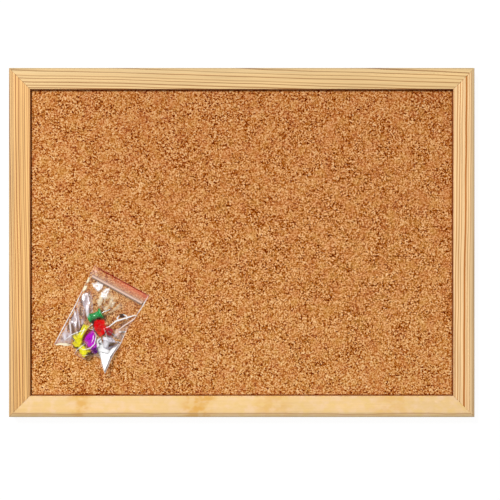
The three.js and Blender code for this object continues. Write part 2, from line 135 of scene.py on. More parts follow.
def times_plus(value, factor, addend):
    return calculate("MULTIPLY_ADD", value, factor, addend)


def smooth_step(value, start, end):
    """Nought at start and one at end with a soft bend at both, whichever of the two is greater."""
    feeds = {"Value": value, "From Min": start, "From Max": end}
    return add("ShaderNodeMapRange", feeds, interpolation_type="SMOOTHSTEP").outputs[0]


print("sums and steps: plus, minus, times, times_plus, smooth_step")


# %% Nodes for places and patterns
def place_on_object(tree):
    return add("ShaderNodeTexCoord", {}, tree).outputs["Object"]


def axes(place):
    return add("ShaderNodeSeparateXYZ", {0: place}).outputs


def vectors(operation, first, second):
    return add("ShaderNodeVectorMath", {0: first, 1: second}, operation=operation).outputs[0]


def noise(place, scale, detail=2.0, roughness=0.5):
    feeds = {"Vector": place, "Scale": scale, "Detail": detail, "Roughness": roughness}
    return add("ShaderNodeTexNoise", feeds).outputs


def stretched_noise(place, scales, detail, roughness=0.5):
    """Noise with its own fineness along each axis."""
    return noise(vectors("MULTIPLY", place, scales), 1.0, detail, roughness)


print("patterns lie on object coordinates, in metres")


# %% Nodes for colours
def tone(red, green, blue):
    """A colour as it looks, in 0 to 255, as the linear value that a shader takes."""
    shares = [c / 255 for c in (red, green, blue)]
    linear = [c / 12.92 if c <= 0.04045 else ((c + 0.055) / 1.055) ** 2.4 for c in shares]
    return (*linear, 1.0)


def darker(colour, share):
    return (*(c * share for c in colour[:3]), 1.0)


def channels(colour):
    return add("ShaderNodeSeparateColor", {0: colour}).outputs


def mix_colour(factor, first, second, blend="MIX"):
    feeds = {0: factor, 6: first, 7: second}
    return add("ShaderNodeMix", feeds, data_type="RGBA", blend_type=blend).outputs[2]


def multiply_colour(colour, red, green, blue):
    shade = add("ShaderNodeCombineColor", {0: red, 1: green, 2: blue}).outputs[0]
    return mix_colour(1.0, colour, shade, "MULTIPLY")


def ramp(value, stops):
    node = add("ShaderNodeValToRGB", {0: value})
    elements = node.color_ramp.elements
    while len(elements) < len(stops):
        elements.new(0.5)
    for element, (place, colour) in zip(elements, stops):
        element.position = place
        element.color = colour
    return node.outputs[0]


print("a tone of 128 is", round(tone(128, 128, 128)[0], 3), "in linear light")


# %% Materials
def new_material(name):
    material = bpy.data.materials.new(name)
    material.use_nodes = True
    tree = material.node_tree
    return material, tree, tree.nodes["Principled BSDF"]


def dress(shader, colour, roughness, relief, strength, depth):
    """Feeds a shader its colour, its roughness and a bump made of a relief."""
    feeds = {"Height": relief, "Strength": strength, "Distance": depth}
    bump = add("ShaderNodeBump", feeds).outputs[0]
    feed(shader, {"Base Color": colour, "Roughness": roughness, "Normal": bump})


def finish_node(name, material):
    nodes[name].data.materials.clear()
    nodes[name].data.materials.append(material)


print(len(nodes), "nodes wait for a finish")

# %% [markdown]
# ## Light, floor and background
# A compact soft lamp stands towards the upper left, as the narrow dark edges under the frame's top and
# left rails show, with a faint one opposite. An even sky gives the rest of the light, and all together it
# comes to about one, so a colour renders about as it is written. The floor looks white to the camera, and
# darkens only a little where the board shades it.

# %% Lamps
FULL_LIGHT = math.pi
KEY_SHARE = 0.62
CORNER_SHARE = 0.03


def lamp(name, turn, tilt, distance, size, light):
    data = bpy.data.lights.new(name, "AREA")
    data.shape = "DISK"
    data.size = size
    tilted = math.radians(tilt)
    aside = math.radians(turn)
    level = Vector((math.cos(aside), math.sin(aside), 0)) * math.sin(tilted)
    towards = level + Vector((0, 0, math.cos(tilted)))
    data.energy = light * math.pi * distance**2 / math.cos(tilted)
    made = bpy.data.objects.new(name, data)
    made.location = towards * distance
    made.rotation_euler = towards.to_track_quat("Z", "Y").to_euler()
    bpy.context.scene.collection.objects.link(made)
    print(name, round(data.energy, 2), "W")


lamp("key lamp", turn=127, tilt=31, distance=2.2, size=0.42, light=KEY_SHARE * FULL_LIGHT)
lamp("corner lamp", turn=-42, tilt=29, distance=1.6, size=0.3, light=CORNER_SHARE * FULL_LIGHT)

# %% Sky
WHITE = (1.0, 1.0, 1.0, 1.0)


def seen_directly(tree):
    path = add("ShaderNodeLightPath", {}, tree).outputs
    mirrored = calculate("MAXIMUM", path["Is Glossy Ray"], path["Is Transmission Ray"])
    return calculate("MAXIMUM", path["Is Camera Ray"], mirrored)


world = bpy.data.worlds.new("white sky")
bpy.context.scene.world = world
world.use_nodes = True
sky = world.node_tree
sky_strength = times_plus(seen_directly(sky), KEY_SHARE, 1 - KEY_SHARE)
feed(sky.nodes["Background"], {"Color": WHITE, "Strength": sky_strength})
print("the sky gives", round(1 - KEY_SHARE, 2), "of the light")

# %% Floor
FLOOR_SPAN = 6.0
FLOOR_GAP = 0.3 * MM
FLOOR_GREY = (0.8, 0.8, 0.8, 1.0)
SHADOW_GREY = (0.09, 0.09, 0.09, 1.0)
FLOOR_GLOW = 0.94
bpy.ops.mesh.primitive_plane_add(size=FLOOR_SPAN, location=(0, 0, -FLOOR_GAP))
floor = bpy.context.object
floor.name = "floor"
floor_material, tree, shader = new_material("white floor")
feed(shader, {"Base Color": FLOOR_GREY, "Roughness": 0.9, "Specular IOR Level": 0.0})
paper = add("ShaderNodeBsdfDiffuse", {"Color": SHADOW_GREY}, tree)
glow = add("ShaderNodeEmission", {"Color": WHITE, "Strength": FLOOR_GLOW}, tree)
seen_floor = add("ShaderNodeAddShader", {0: paper.outputs[0], 1: glow.outputs[0]})
halves = {0: seen_directly(tree), 1: shader.outputs[0], 2: seen_floor.outputs[0]}
either = add("ShaderNodeMixShader", halves)
feed(tree.nodes["Material Output"], {"Surface": either.outputs[0]})
floor.data.materials.append(floor_material)
print("floor", FLOOR_SPAN, "m across")

# %% [markdown]
# ## Pine
# Pine shows its yearly rings: wide pale earlywood and a thin darker line of latewood. A board is cut out
# of the trunk, so the pattern on its face is a slice through rings round a pith line. The first group
# below works out the distance to that line, which gives straight grain when the pith is far to the side
# and broad, flowing figure when it lies under the face. Four rails share it with their own values, as four
# sticks from different boards. A second group gives masks for painted shade on the eased outer edge and
# its arris, and for brown on the inner wall above the cork, partly cork dust and partly painted shade.


# %% Making a group of nodes
def new_group(name, inputs, outputs, kind="ShaderNodeTree"):
    """A group with named sockets. A word gives a socket's kind, and a number a float that starts there."""
    tree = bpy.data.node_groups.new(name, kind)
    for direction, sockets in (("INPUT", inputs), ("OUTPUT", outputs)):
        for socket, start in sockets.items():
            sort = start if isinstance(start, str) else "Float"
            made = tree.interface.new_socket(socket, in_out=direction, socket_type="NodeSocket" + sort)
            if sort is not start:
                made.default_value = start
    print("group", name, "takes", ", ".join(inputs), "and gives", ", ".join(outputs))
    return tree, add("NodeGroupInput", {}, tree).outputs


def place_group(group, feeds):
    return add("ShaderNodeGroup", feeds, node_tree=group).outputs


# %% Growth rings as a shader group
def growth_rings_group():
    tree, given = new_group(
        "pine growth rings",
        {
            "Along Across Depth": "Vector",
            "Ring Spacing": 3 * MM,
            "Pith Across": 60 * MM,
            "Pith Depth": 0.0,
            "Lean": 0.01,
            "Wander": 3 * MM,
            "Unevenness": 0.5,
        },
        {"Latewood": "Float", "Fibre": "Float", "Drift": "Float"},
    )
    place = given["Along Across Depth"]
    along, across, depth = axes(place)
    slow = stretched_noise(place, (4.0, 22.0, 22.0), 1.5)[0]
    quick = stretched_noise(place, (22.0, 60.0, 60.0), 2.0)[0]
    sway = times(minus(times_plus(quick, 0.22, slow), 0.6), given["Wander"])
    leaning = times_plus(along, given["Lean"], across)
    aside = minus(plus(leaning, sway), given["Pith Across"])
    below = minus(depth, given["Pith Depth"])
    squares = plus(calculate("POWER", aside, 2.0), calculate("POWER", below, 2.0))
    years = calculate("DIVIDE", calculate("SQRT", squares), given["Ring Spacing"])
    feeds = {"W": years, "Scale": 0.6, "Detail": 1.0}
    weather = add("ShaderNodeTexNoise", feeds, noise_dimensions="1D").outputs[0]
    years = times_plus(weather, 1.2, years)
    season = calculate("FRACT", years)
    numbered = {"W": calculate("FLOOR", years)}
    vigour = add("ShaderNodeTexWhiteNoise", numbered, noise_dimensions="1D").outputs[0]
    vigour = minus(1.0, times(vigour, given["Unevenness"]))
    rising = calculate("POWER", smooth_step(season, 0.5, 0.92), 2.2)
    falling = smooth_step(season, 1.0, 0.93)
    latewood = times(times(rising, falling), vigour)
    fibre = stretched_noise(place, (14.0, 800.0, 800.0), 3.0, 0.6)[0]
    drift = stretched_noise(place, (9.0, 50.0, 50.0), 2.0)[0]
    add("NodeGroupOutput", {"Latewood": latewood, "Fibre": fibre, "Drift": drift})
    return tree


rings = growth_rings_group()

# %% Painted shade and dust of the frame as a shader group
opening_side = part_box("right_rail")[0].x
opening_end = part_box("top_rail")[0].y


def beyond(across, up, side, end):
    """How far a point lies outside the rectangle with these half sides."""
    from_side = minus(calculate("ABSOLUTE", across), side)
    from_end = minus(calculate("ABSOLUTE", up), end)
    return calculate("MAXIMUM", from_side, from_end)


def frame_shade_and_dust_group():
    """Masks for painted shade on the eased edge and its arris, and for the inner wall's brown, partly cork
    dust and partly painted shade.
    """
    tree, given = new_group(
        "frame wear",
        {"Place": "Vector", "Paling": 0.2, "Greying": 0.4, "Dust": 0.7, "Least Dust": 0.2},
        {"Eased Edge": "Float", "Arris": "Float", "Inner Wall": "Float"},
    )
    across, up, height = axes(given["Place"])
    above = smooth_step(height, face_height - 6 * MM, face_height - 4 * MM)
    outwards = beyond(across, up, cad_high.x, cad_high.y)
    eased = smooth_step(outwards, -5.4 * MM, -4.2 * MM)
    arris = smooth_step(outwards, -2.0 * MM, -0.2 * MM)
    from_wall = beyond(across, up, opening_side, opening_end)
    wall = smooth_step(from_wall, 0.35 * MM, 0.05 * MM)
    low = smooth_step(height, face_height - 1.6 * MM, face_height - 4.4 * MM)
    masks = {
        "Eased Edge": times(times(eased, given["Paling"]), above),
        "Arris": times(times(arris, given["Greying"]), above),
        "Inner Wall": times(wall, times_plus(low, given["Dust"], given["Least Dust"])),
    }
    add("NodeGroupOutput", masks)
    return tree


edge_and_wall_shading = frame_shade_and_dust_group()
# Greyer eased edge and darker arris are painted shade; the inner wall's brown is partly cork dust, partly
# painted shade.
PAINTED_SHADE_AND_DUST_TONES = {"Eased Edge": tone(206, 188, 148), "Arris": tone(150, 128, 96), "Inner Wall": tone(158, 66, 4)}

# %% Figure of the bottom rail
# Each patch: its place along the rail, half its length and its strength.
BOTTOM_FIGURE = (
    (-139 * MM, 10 * MM, 0.8),
    (-37 * MM, 19 * MM, 0.95),
    (26 * MM, 20 * MM, 0.45),
    (128 * MM, 22 * MM, 0.35),
)
RAGGED = 26 * MM
RING_LINE = -144.3 * MM
RING_WINDING = 5 * MM


def figured(place, colour, figure):
    """Rosy and golden clouds, patches where the grain dips round a knot, and one ring along the edge."""
    along, across, _ = axes(place)
    ragged = stretched_noise(place, (60.0, 160.0, 160.0), 3.0)[0]
    wavering = minus(times_plus(ragged, RAGGED, along), RAGGED / 2)
    dipping = 0.0
    for middle, half, strength in figure:
        away = calculate("ABSOLUTE", minus(wavering, middle))
        dipping = times_plus(smooth_step(away, half, 0.15 * half), strength, dipping)
    cloud = channels(stretched_noise(place, (130.0, 170.0, 170.0), 2.0)[1])
    broken = times_plus(smooth_step(cloud[0], 0.36, 0.56), 0.75, 0.25)
    winding = stretched_noise(place, (16.0, 0.0, 0.0), 3.0)[0]
    off_line = times_plus(winding, RING_WINDING, plus(across, -RING_LINE))
    ring = smooth_step(calculate("ABSOLUTE", off_line), 0.8 * MM, 0.2 * MM)
    for mask, strength, laid in (
        (smooth_step(cloud[1], 0.4, 0.7), 0.6, tone(250, 212, 172)),
        (smooth_step(cloud[2], 0.42, 0.72), 0.6, tone(242, 202, 124)),
        (dipping, broken, tone(232, 174, 84)),
        (ring, 0.6, tone(194, 126, 84)),
    ):
        colour = mix_colour(times(mask, strength), colour, laid)
    return colour


print(len(BOTTOM_FIGURE), "patches of figure")


# %% A pine for each rail
def pine(name, turned, spacing, pith, lean, wander, uneven, early, late, contrast, figure=()):
    material, tree, shader = new_material(name)
    place = place_on_object(tree)
    turn = (0, 0, math.radians(-90) if turned else 0.0)
    on_rail = add("ShaderNodeMapping", {"Vector": place, "Rotation": turn}).outputs[0]
    feeds = {
        "Along Across Depth": on_rail,
        "Ring Spacing": spacing,
        "Pith Across": pith[0],
        "Pith Depth": pith[1],
        "Lean": lean,
        "Wander": wander,
        "Unevenness": uneven,
    }
    latewood, fibre, drift = place_group(rings, feeds)
    colour = mix_colour(times(latewood, contrast), early, late)
    fibrous = 0.35 * contrast
    streak = times_plus(fibre, fibrous, 0.98 - 0.5 * fibrous)
    shade = times(streak, times_plus(drift, 0.3, 0.85))
    colour = multiply_colour(colour, shade, shade, shade)
    if figure:
        colour = figured(on_rail, colour, figure)
    # Lays on painted shade at the eased edge and arris, and cork dust with painted shade on the inner wall.
    shade_and_dust_masks = place_group(edge_and_wall_shading, {"Place": place})
    for mask, laid in PAINTED_SHADE_AND_DUST_TONES.items():
        colour = mix_colour(shade_and_dust_masks[mask], colour, laid)
    roughness = times_plus(latewood, -0.12, 0.58)
    relief = times_plus(latewood, 0.6, times(fibre, 0.5))
    dress(shader, colour, roughness, relief, strength=0.35, depth=0.12 * MM)
    feed(shader, {"Specular IOR Level": 0.3})
    return material


PINES = {
    "top_rail": pine(
        "pine of the top rail", turned=False, spacing=2.7 * MM, pith=(230 * MM, 60 * MM), lean=0.03,
        wander=5 * MM, uneven=0.5, early=tone(231, 194, 136), late=tone(152, 94, 28), contrast=1.35,
    ),
    "bottom_rail": pine(
        "pine of the bottom rail", turned=False, spacing=10 * MM, pith=(-137 * MM, -34 * MM), lean=0.02,
        wander=14 * MM, uneven=0.5, early=tone(249, 210, 150), late=tone(228, 176, 102), contrast=0.7,
        figure=BOTTOM_FIGURE,
    ),
    "left_rail": pine(
        "pine of the left rail", turned=True, spacing=1.9 * MM, pith=(300 * MM, 40 * MM), lean=-0.015,
        wander=4 * MM, uneven=0.65, early=tone(239, 188, 118), late=tone(150, 70, 4), contrast=2.4,
    ),
    "right_rail": pine(
        "pine of the right rail", turned=True, spacing=2.6 * MM, pith=(-310.4 * MM, 30 * MM), lean=0.008,
        wander=5 * MM, uneven=0.85, early=tone(249, 208, 152), late=tone(190, 116, 44), contrast=2.2,
    ),
}
print("pines for", ", ".join(PINES))

# %% [markdown]
# ## Rails
# A rail is one planed stick with an eased outer edge, mitred at both ends. The solid's edge is made of
# flats, so a welded copy stands in for it: its normals are smoothed over shallow angles and weighted by
# area, which keeps the wide faces flat and lets the light roll over the edges.


# %% Smooth copies of turned and rounded nodes
def mesh_object(name, mesh, material):
    made = bpy.data.objects.new(name, mesh)
    bpy.context.scene.collection.objects.link(made)
    mesh.materials.clear()
    mesh.materials.append(material)
    return made


def applied(made):
    """Turns an object's modifiers into a plain mesh."""
    graph = bpy.context.evaluated_depsgraph_get()
    mesh = bpy.data.meshes.new_from_object(made.evaluated_get(graph), depsgraph=graph)
    made.modifiers.clear()
    made.data = mesh
    return made


def smooth_copy(node, name, material, body, sharp_degrees=40):
    mesh = nodes[node].data.copy()
    welded = bmesh.new()
    welded.from_mesh(mesh)
    bmesh.ops.remove_doubles(welded, verts=welded.verts, dist=0.001 * MM)
    welded.to_mesh(mesh)
    welded.free()
    mesh.shade_smooth()
    mesh.set_sharp_from_angle(angle=math.radians(sharp_degrees))
    made = mesh_object(name, mesh, material)
    weighted = made.modifiers.new("flat faces stay flat", "WEIGHTED_NORMAL")
    weighted.keep_sharp = True
    weighted.weight = 100
    applied(made)
    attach(made, body)
    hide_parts(node)
    return made


for rail, material in PINES.items():
    made = smooth_copy(rail, rail + "_pine", material, "board")
    print(made.name, len(made.data.polygons), "faces")

# %% [markdown]
# ## Granulated cork
# Composition cork is pressed from granules one to three millimetres across, sliced and sanded. Its look is
# a mosaic: each granule has its own brown, thin dark gaps run between them, and crumbs of bark make dark
# specks. The same Voronoi pattern is used twice: a geometry tree lifts the granules out of a fine grid,
# and the material colours them, so that relief and colour belong together. Gaps, stains and bark all lower
# one level, which then runs through one ramp of browns, because a dark tone mixed over a pale one turns
# grey. Painted light makes the sheet paler towards its bottom and left, and painted shade darkens it along
# the frame.

# %% Granules
GRANULE = 2.3 * MM
CRUMB = 1.05 * MM
BARK = 1.8 * MM
WARPS_PER_METRE = 420.0
WARP = (2.4 * MM,) * 3


def granules(place, size):
    """A chance for each granule and the distance to its gap, for a material or a geometry tree alike."""
    warp = vectors("SUBTRACT", noise(place, WARPS_PER_METRE)[1], (0.5, 0.5, 0.5))
    warped = vectors("ADD", place, vectors("MULTIPLY", warp, WARP))
    feeds = {"Vector": warped, "Scale": 1 / size, "Randomness": 1.0}
    cells = add("ShaderNodeTexVoronoi", feeds, voronoi_dimensions="2D")
    gaps = add("ShaderNodeTexVoronoi", feeds, voronoi_dimensions="2D", feature="DISTANCE_TO_EDGE")
    return cells.outputs["Color"], gaps.outputs["Distance"]


print("granules", GRANULE / MM, "mm, crumbs", CRUMB / MM, "mm")


# %% Cork relief by geometry nodes
def cork_tree():
    tree, given = new_group(
        "granulated cork",
        {
            "Width": 0.3,
            "Height": 0.2,
            "Top": 0.0,
            "Point Spacing": 1 * MM,
            "Relief": 0.3 * MM,
            "Material": "Material",
        },
        {"Geometry": "Geometry"},
        "GeometryNodeTree",
    )
    columns = calculate("DIVIDE", given["Width"], given["Point Spacing"])
    rows = calculate("DIVIDE", given["Height"], given["Point Spacing"])
    feeds = {"Size X": given["Width"], "Size Y": given["Height"], "Vertices X": columns, "Vertices Y": rows}
    grid = add("GeometryNodeMeshGrid", feeds).outputs[0]
    chance, gap = granules(add("GeometryNodeInputPosition", {}, tree).outputs[0], GRANULE)
    pitted = smooth_step(gap, 0.0, 0.12)
    lifted = times(times_plus(axes(chance)[0], 0.6, 0.4), pitted)
    depth = times(minus(lifted, 1.0), given["Relief"])
    offset = add("ShaderNodeCombineXYZ", {2: plus(depth, given["Top"])}).outputs[0]
    raised = add("GeometryNodeSetPosition", {"Geometry": grid, "Offset": offset}).outputs[0]
    real = add("GeometryNodeRealizeInstances", {0: raised}).outputs[0]
    finished = add("GeometryNodeSetMaterial", {"Geometry": real, "Material": given["Material"]})
    add("NodeGroupOutput", {"Geometry": finished.outputs[0]})
    return tree


def identifier(tree, name):
    return next(s.identifier for s in tree.interface.items_tree if s.name == name and s.in_out == "INPUT")


cork_tools = cork_tree()

# %% Cork colours
MOTTLES_PER_METRE = 900.0
PATCHES_PER_METRE = 110.0
CORK_BROWNS = (
    (0.0, tone(84, 10, 0)),
    (0.18, tone(122, 40, 0)),
    (0.3, tone(152, 70, 0)),
    (0.42, tone(186, 112, 40)),
    (0.5, tone(212, 147, 86)),
    (0.6, tone(230, 172, 113)),
    (0.7, tone(246, 203, 150)),
)


def cork_browns(place, mottled, crumb_chance):
    """Granules, gaps, stains and bark as one brown, warmer in red and yellow patches."""
    chance, gap = granules(place, GRANULE)
    coarse = channels(chance)
    fine = channels(crumb_chance)
    warmth = channels(noise(place, PATCHES_PER_METRE)[1])
    thronged = smooth_step(warmth[2], 0.4, 0.6)
    level = times_plus(fine[0], 0.14, times(coarse[0], 0.06))
    level = minus(plus(mottled, level), 0.1)
    lively = times_plus(thronged, 0.3, 0.92)
    level = times_plus(minus(level, 0.5), lively, 0.5)
    shaded_gap = times(smooth_step(gap, 0.12, 0.02), times_plus(thronged, 0.07, 0.04))
    crumbled = minus(noise(place, 1 / BARK, 1.0, 0.6)[0], 0.01)
    crumbled = times_plus(thronged, 0.07, crumbled)
    stained = times(smooth_step(crumbled, 0.55, 0.64), 0.07)
    bark = times(smooth_step(crumbled, 0.625, 0.66), times_plus(fine[1], -0.3, 0.46))
    darkened = plus(plus(shaded_gap, stained), bark)
    colour = ramp(minus(level, darkened), CORK_BROWNS)
    reddish = times(smooth_step(warmth[0], 0.45, 0.7), 0.3)
    colour = mix_colour(reddish, colour, tone(200, 116, 66))
    yellowish = times(smooth_step(warmth[1], 0.5, 0.72), 0.3)
    return mix_colour(yellowish, colour, tone(206, 148, 70))


print("cork runs through", len(CORK_BROWNS), "browns")

# %% Painted light, painted shade along the frame, and the cork material
# How far the painted light reaches across the sheet, and the band of painted shade along the frame.
LIGHT_GRADIENT_REACH = 140 * MM
LIGHT_GRADIENT_LEFT = (-90 * MM, -185 * MM)
RIM_SHADE_REACH = (-1.6 * MM, -0.2 * MM)


def paint_cork_light_and_shade(place, colour):
    across, up, _ = axes(place)
    # Painted light: the sheet is paler towards its bottom and its left.
    span = {"Value": up, "From Min": LIGHT_GRADIENT_REACH, "From Max": -LIGHT_GRADIENT_REACH}
    downwards = add("ShaderNodeMapRange", span).outputs[0]
    painted_light_share = times_plus(smooth_step(across, *LIGHT_GRADIENT_LEFT), 0.06, 0.92)
    painted_light_share = times_plus(downwards, 0.18, painted_light_share)
    paler = calculate("POWER", painted_light_share, 1.5)
    colour = multiply_colour(colour, painted_light_share, paler, paler)
    # Painted shade along the frame's inner edge.
    painted_rim_shade = smooth_step(beyond(across, up, opening_side, opening_end), *RIM_SHADE_REACH)
    return mix_colour(times(painted_rim_shade, 0.8), colour, tone(112, 38, 0))


def cork():
    material, tree, shader = new_material("granulated cork")
    place = place_on_object(tree)
    mottled = noise(place, MOTTLES_PER_METRE, 1.0, 0.6)[0]
    crumb_chance, crumb_gap = granules(place, CRUMB)
    colour = cork_browns(place, mottled, crumb_chance)
    colour = paint_cork_light_and_shade(place, colour)
    relief = times_plus(smooth_step(crumb_gap, 0.0, 0.3), 0.6, mottled)
    roughness = times_plus(mottled, 0.2, 0.7)
    dress(shader, colour, roughness, relief, strength=0.5, depth=0.18 * MM)
    feed(shader, {"Specular IOR Level": 0.0})
    return material


cork_material = cork()
print("cork material with", len(cork_material.node_tree.nodes), "nodes")

# %% Cork sheet
RELIEF = 0.32 * MM
POINT_SPACING = 1.12 * MM
CORK_SHARP = math.radians(60)
cork_low, cork_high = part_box("cork_sheet")
cork_sheet = mesh_object("granulated_cork", bpy.data.meshes.new("granulated_cork"), cork_material)
modifier = cork_sheet.modifiers.new("granules", "NODES")
modifier.node_group = cork_tools
cork_sizes = {
    "Width": cork_high.x - cork_low.x,
    "Height": cork_high.y - cork_low.y,
    "Top": cork_high.z,
    "Point Spacing": POINT_SPACING,
    "Relief": RELIEF,
    "Material": cork_material,
}
for name, value in cork_sizes.items():
    modifier[identifier(cork_tools, name)] = value
applied(cork_sheet)


def close_below(mesh, bottom):
    """Draws a sheet's rim down and closes it, so that the sheet is a slab."""
    slab = bmesh.new()
    slab.from_mesh(mesh)
    rim = [e.verts[:] for e in slab.edges if e.is_boundary]
    below = {v: slab.verts.new((v.co.x, v.co.y, bottom)) for v in slab.verts[:] if v.is_boundary}
    for first, second in rim:
        slab.faces.new((first, second, below[second], below[first]))
    lower_rim = [e for e in slab.edges if e.is_boundary]
    bmesh.ops.contextual_create(slab, geom=lower_rim)
    bmesh.ops.recalc_face_normals(slab, faces=slab.faces)
    slab.to_mesh(mesh)
    slab.free()


close_below(cork_sheet.data, cork_low.z)
cork_sheet.data.shade_smooth()
cork_sheet.data.set_sharp_from_angle(angle=CORK_SHARP)
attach(cork_sheet, "board")
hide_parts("cork_sheet")
print("cork sheet", len(cork_sheet.data.polygons), "faces")

# %% [markdown]
# ## Push pins
# A push pin's head is moulded plastic of a turned shape: a wide collar, a slim waist to hold and a knob.
# One profile, turned round the pin's own axis, makes all six. The axis is read from the solid head and its
# needle, so each pin lies exactly where the construction has it.

# %% Pin sizes
PIN_PROFILE_STEPS = 8
PIN_SIDES = 56
COLLAR = 1.8 * MM
KNOB = 3.2 * MM
COLLAR_RADIUS = 4.6 * MM
WAIST_RADIUS = 2.7 * MM
KNOB_RADIUS = 4.3 * MM
EDGE_ROUND = 0.5 * MM
NEEDLE_RADIUS = 0.55 * MM
NEEDLE_TAPER = 2.5 * MM
PIN_COLOURS = ("green", "red", "magenta", "white", "yellow", "second_yellow")
print("pins", ", ".join(PIN_COLOURS))


# %% Where a pin lies
def points_of(name):
    return np.array([v.co for v in nodes[name].data.vertices], float).reshape(-1, 3)


def pin_axis(pin):
    """The middle of the head's base, the way to the knob, the head's length and the needle's tip."""
    head = points_of(pin + "_pin_head")
    needle = points_of(pin + "_pin_needle")
    way = head.mean(0) - needle.mean(0)
    way /= np.linalg.norm(way)
    middle = head.mean(0)
    along = (head - middle) @ way
    tip = ((needle - middle) @ way).min() - along.min()
    return middle + way * along.min(), way, along.max() - along.min(), tip


print("green pin starts at", (pin_axis("green")[0] / MM).round(1), "mm")


# %% Pin profiles
def bend(start, corner, end):
    """A quarter bend from start to end that leans towards the corner."""
    t = np.linspace(0, 1, PIN_PROFILE_STEPS + 1)[1:, None]
    start, corner, end = (np.array(p, float) for p in (start, corner, end))
    return [tuple(p) for p in (1 - t) ** 2 * start + 2 * t * (1 - t) * corner + t**2 * end]


def head_profile(length):
    knob = length - KNOB
    middle = (COLLAR + knob) / 2
    line = [(0, 0), (COLLAR_RADIUS - EDGE_ROUND, 0)]
    line += bend(line[-1], (COLLAR_RADIUS, 0), (COLLAR_RADIUS, EDGE_ROUND))
    line += [(COLLAR_RADIUS, COLLAR - EDGE_ROUND)]
    line += bend(line[-1], (COLLAR_RADIUS, COLLAR), (COLLAR_RADIUS - EDGE_ROUND, COLLAR))
    line += bend(line[-1], (WAIST_RADIUS, COLLAR), (WAIST_RADIUS, middle))
    line += bend(line[-1], (WAIST_RADIUS, knob), (KNOB_RADIUS, knob + EDGE_ROUND))
    line += [(KNOB_RADIUS, length - EDGE_ROUND)]
    line += bend(line[-1], (KNOB_RADIUS, length), (KNOB_RADIUS - EDGE_ROUND, length))
    return line + [(0, length)]


def needle_profile(tip, driven):
    return [(0, tip), (NEEDLE_RADIUS, tip + NEEDLE_TAPER), (NEEDLE_RADIUS, driven), (0, driven)]


print("a head's profile has", len(head_profile(pin_axis("green")[2])), "points")


# %% Turning a profile
def turned(name, profile, base, way, material, sharp_degrees=35):
    """Turns a profile of radius and station round an axis into a closed mesh."""
    shape = bmesh.new()
    frame_of_axis = Vector(way).to_track_quat("Z", "Y").to_matrix().to_4x4()
    rings_of_points = []
    for radius, station in profile:
        count = PIN_SIDES if radius > 0 else 1
        angles = [2 * math.pi * i / count for i in range(count)]
        ring = [shape.verts.new((radius * math.cos(a), radius * math.sin(a), station)) for a in angles]
        rings_of_points.append(ring)
    for lower, upper in zip(rings_of_points, rings_of_points[1:]):
        for i in range(PIN_SIDES):
            pair = [(ring[i % len(ring)], ring[(i + 1) % len(ring)]) for ring in (lower, upper)]
            corners = [pair[0][0], pair[0][1], pair[1][1], pair[1][0]]
            shape.faces.new(list(dict.fromkeys(corners)))
    bmesh.ops.recalc_face_normals(shape, faces=shape.faces)
    bmesh.ops.transform(shape, matrix=Matrix.Translation(Vector(base)) @ frame_of_axis, verts=shape.verts)
    mesh = bpy.data.meshes.new(name)
    shape.to_mesh(mesh)
    shape.free()
    mesh.shade_smooth()
    mesh.set_sharp_from_angle(angle=math.radians(sharp_degrees))
    return mesh_object(name, mesh, material)


print("profiles turned in", PIN_SIDES, "sides")


# %% Pin plastics
def moulded_skin_group():
    tree, given = new_group(
        "moulded skin", {"Place": "Vector", "Cloud Scale": 260.0}, {"Cloud": "Float", "Dimples": "Float"}
    )
    cloud = noise(given["Place"], given["Cloud Scale"], 3.0)[0]
    dimples = noise(given["Place"], 900.0)[0]
    add("NodeGroupOutput", {"Cloud": cloud, "Dimples": dimples})
    return tree


skin = moulded_skin_group()


def moulded_plastic(name, colour):
    material, tree, shader = new_material(name)
    cloud, dimples = place_group(skin, {"Place": place_on_object(tree)})
    clouded = mix_colour(smooth_step(cloud, 0.25, 0.6), darker(colour, 0.72), colour)
    roughness = times_plus(cloud, 0.14, 0.15)
    dress(shader, clouded, roughness, dimples, strength=0.08, depth=0.1 * MM)
    feed(shader, {"Specular IOR Level": 0.3, "Coat Weight": 0.2, "Coat Roughness": 0.08})
    return material


PIN_PLASTICS = {
    "green": moulded_plastic("green plastic", tone(22, 158, 74)),
    "red": moulded_plastic("red plastic", tone(226, 8, 14)),
    "magenta": moulded_plastic("magenta plastic", tone(196, 14, 196)),
    "white": moulded_plastic("white plastic", tone(244, 240, 246)),
    "yellow": moulded_plastic("yellow plastic", tone(246, 228, 20)),
}
print("plastics", ", ".join(PIN_PLASTICS))


# %% Steel
def steel_mottle_group():
    tree, given = new_group("steel mottle", {"Place": "Vector", "Streaks": "Vector"}, {"Mottle": "Float"})
    mottle = stretched_noise(given["Place"], given["Streaks"], 4.0, 0.6)[0]
    add("NodeGroupOutput", {"Mottle": mottle})
    return tree


mottling = steel_mottle_group()


def bright_steel(name, colour, roughness, streaks):
    material, tree, shader = new_material(name)
    mottle = place_group(mottling, {"Place": place_on_object(tree), "Streaks": streaks})[0]
    mottled = mix_colour(mottle, darker(colour, 0.7), colour)
    varied = times_plus(mottle, 0.25, roughness - 0.12)
    dress(shader, mottled, varied, mottle, strength=0.12, depth=0.1 * MM)
    feed(shader, {"Metallic": 1.0})
    return material


needle_steel = bright_steel("needle steel", tone(166, 164, 162), 0.25, (200.0, 200.0, 200.0))
print("steel", needle_steel.name)

# %% Pins
NEEDLE_DRIVEN = 6 * MM
pins = {}
for pin in PIN_COLOURS:
    base, way, length, tip = pin_axis(pin)
    pins[pin] = (base, way, length, tip)
    colour = pin.split("_")[-1]
    head = turned(pin + "_head", head_profile(length), base, way, PIN_PLASTICS[colour])
    needle = turned(pin + "_needle", needle_profile(tip, NEEDLE_DRIVEN), base, way, needle_steel)
    for made, node, slot in ((head, "_pin_head", "pin_" + colour), (needle, "_pin_needle", "needle")):
        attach(made, "loose_pins")
        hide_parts(pin + node)
    print(pin, "pin", round(length / MM, 2), "mm head, needle to", round(tip / MM, 2), "mm")
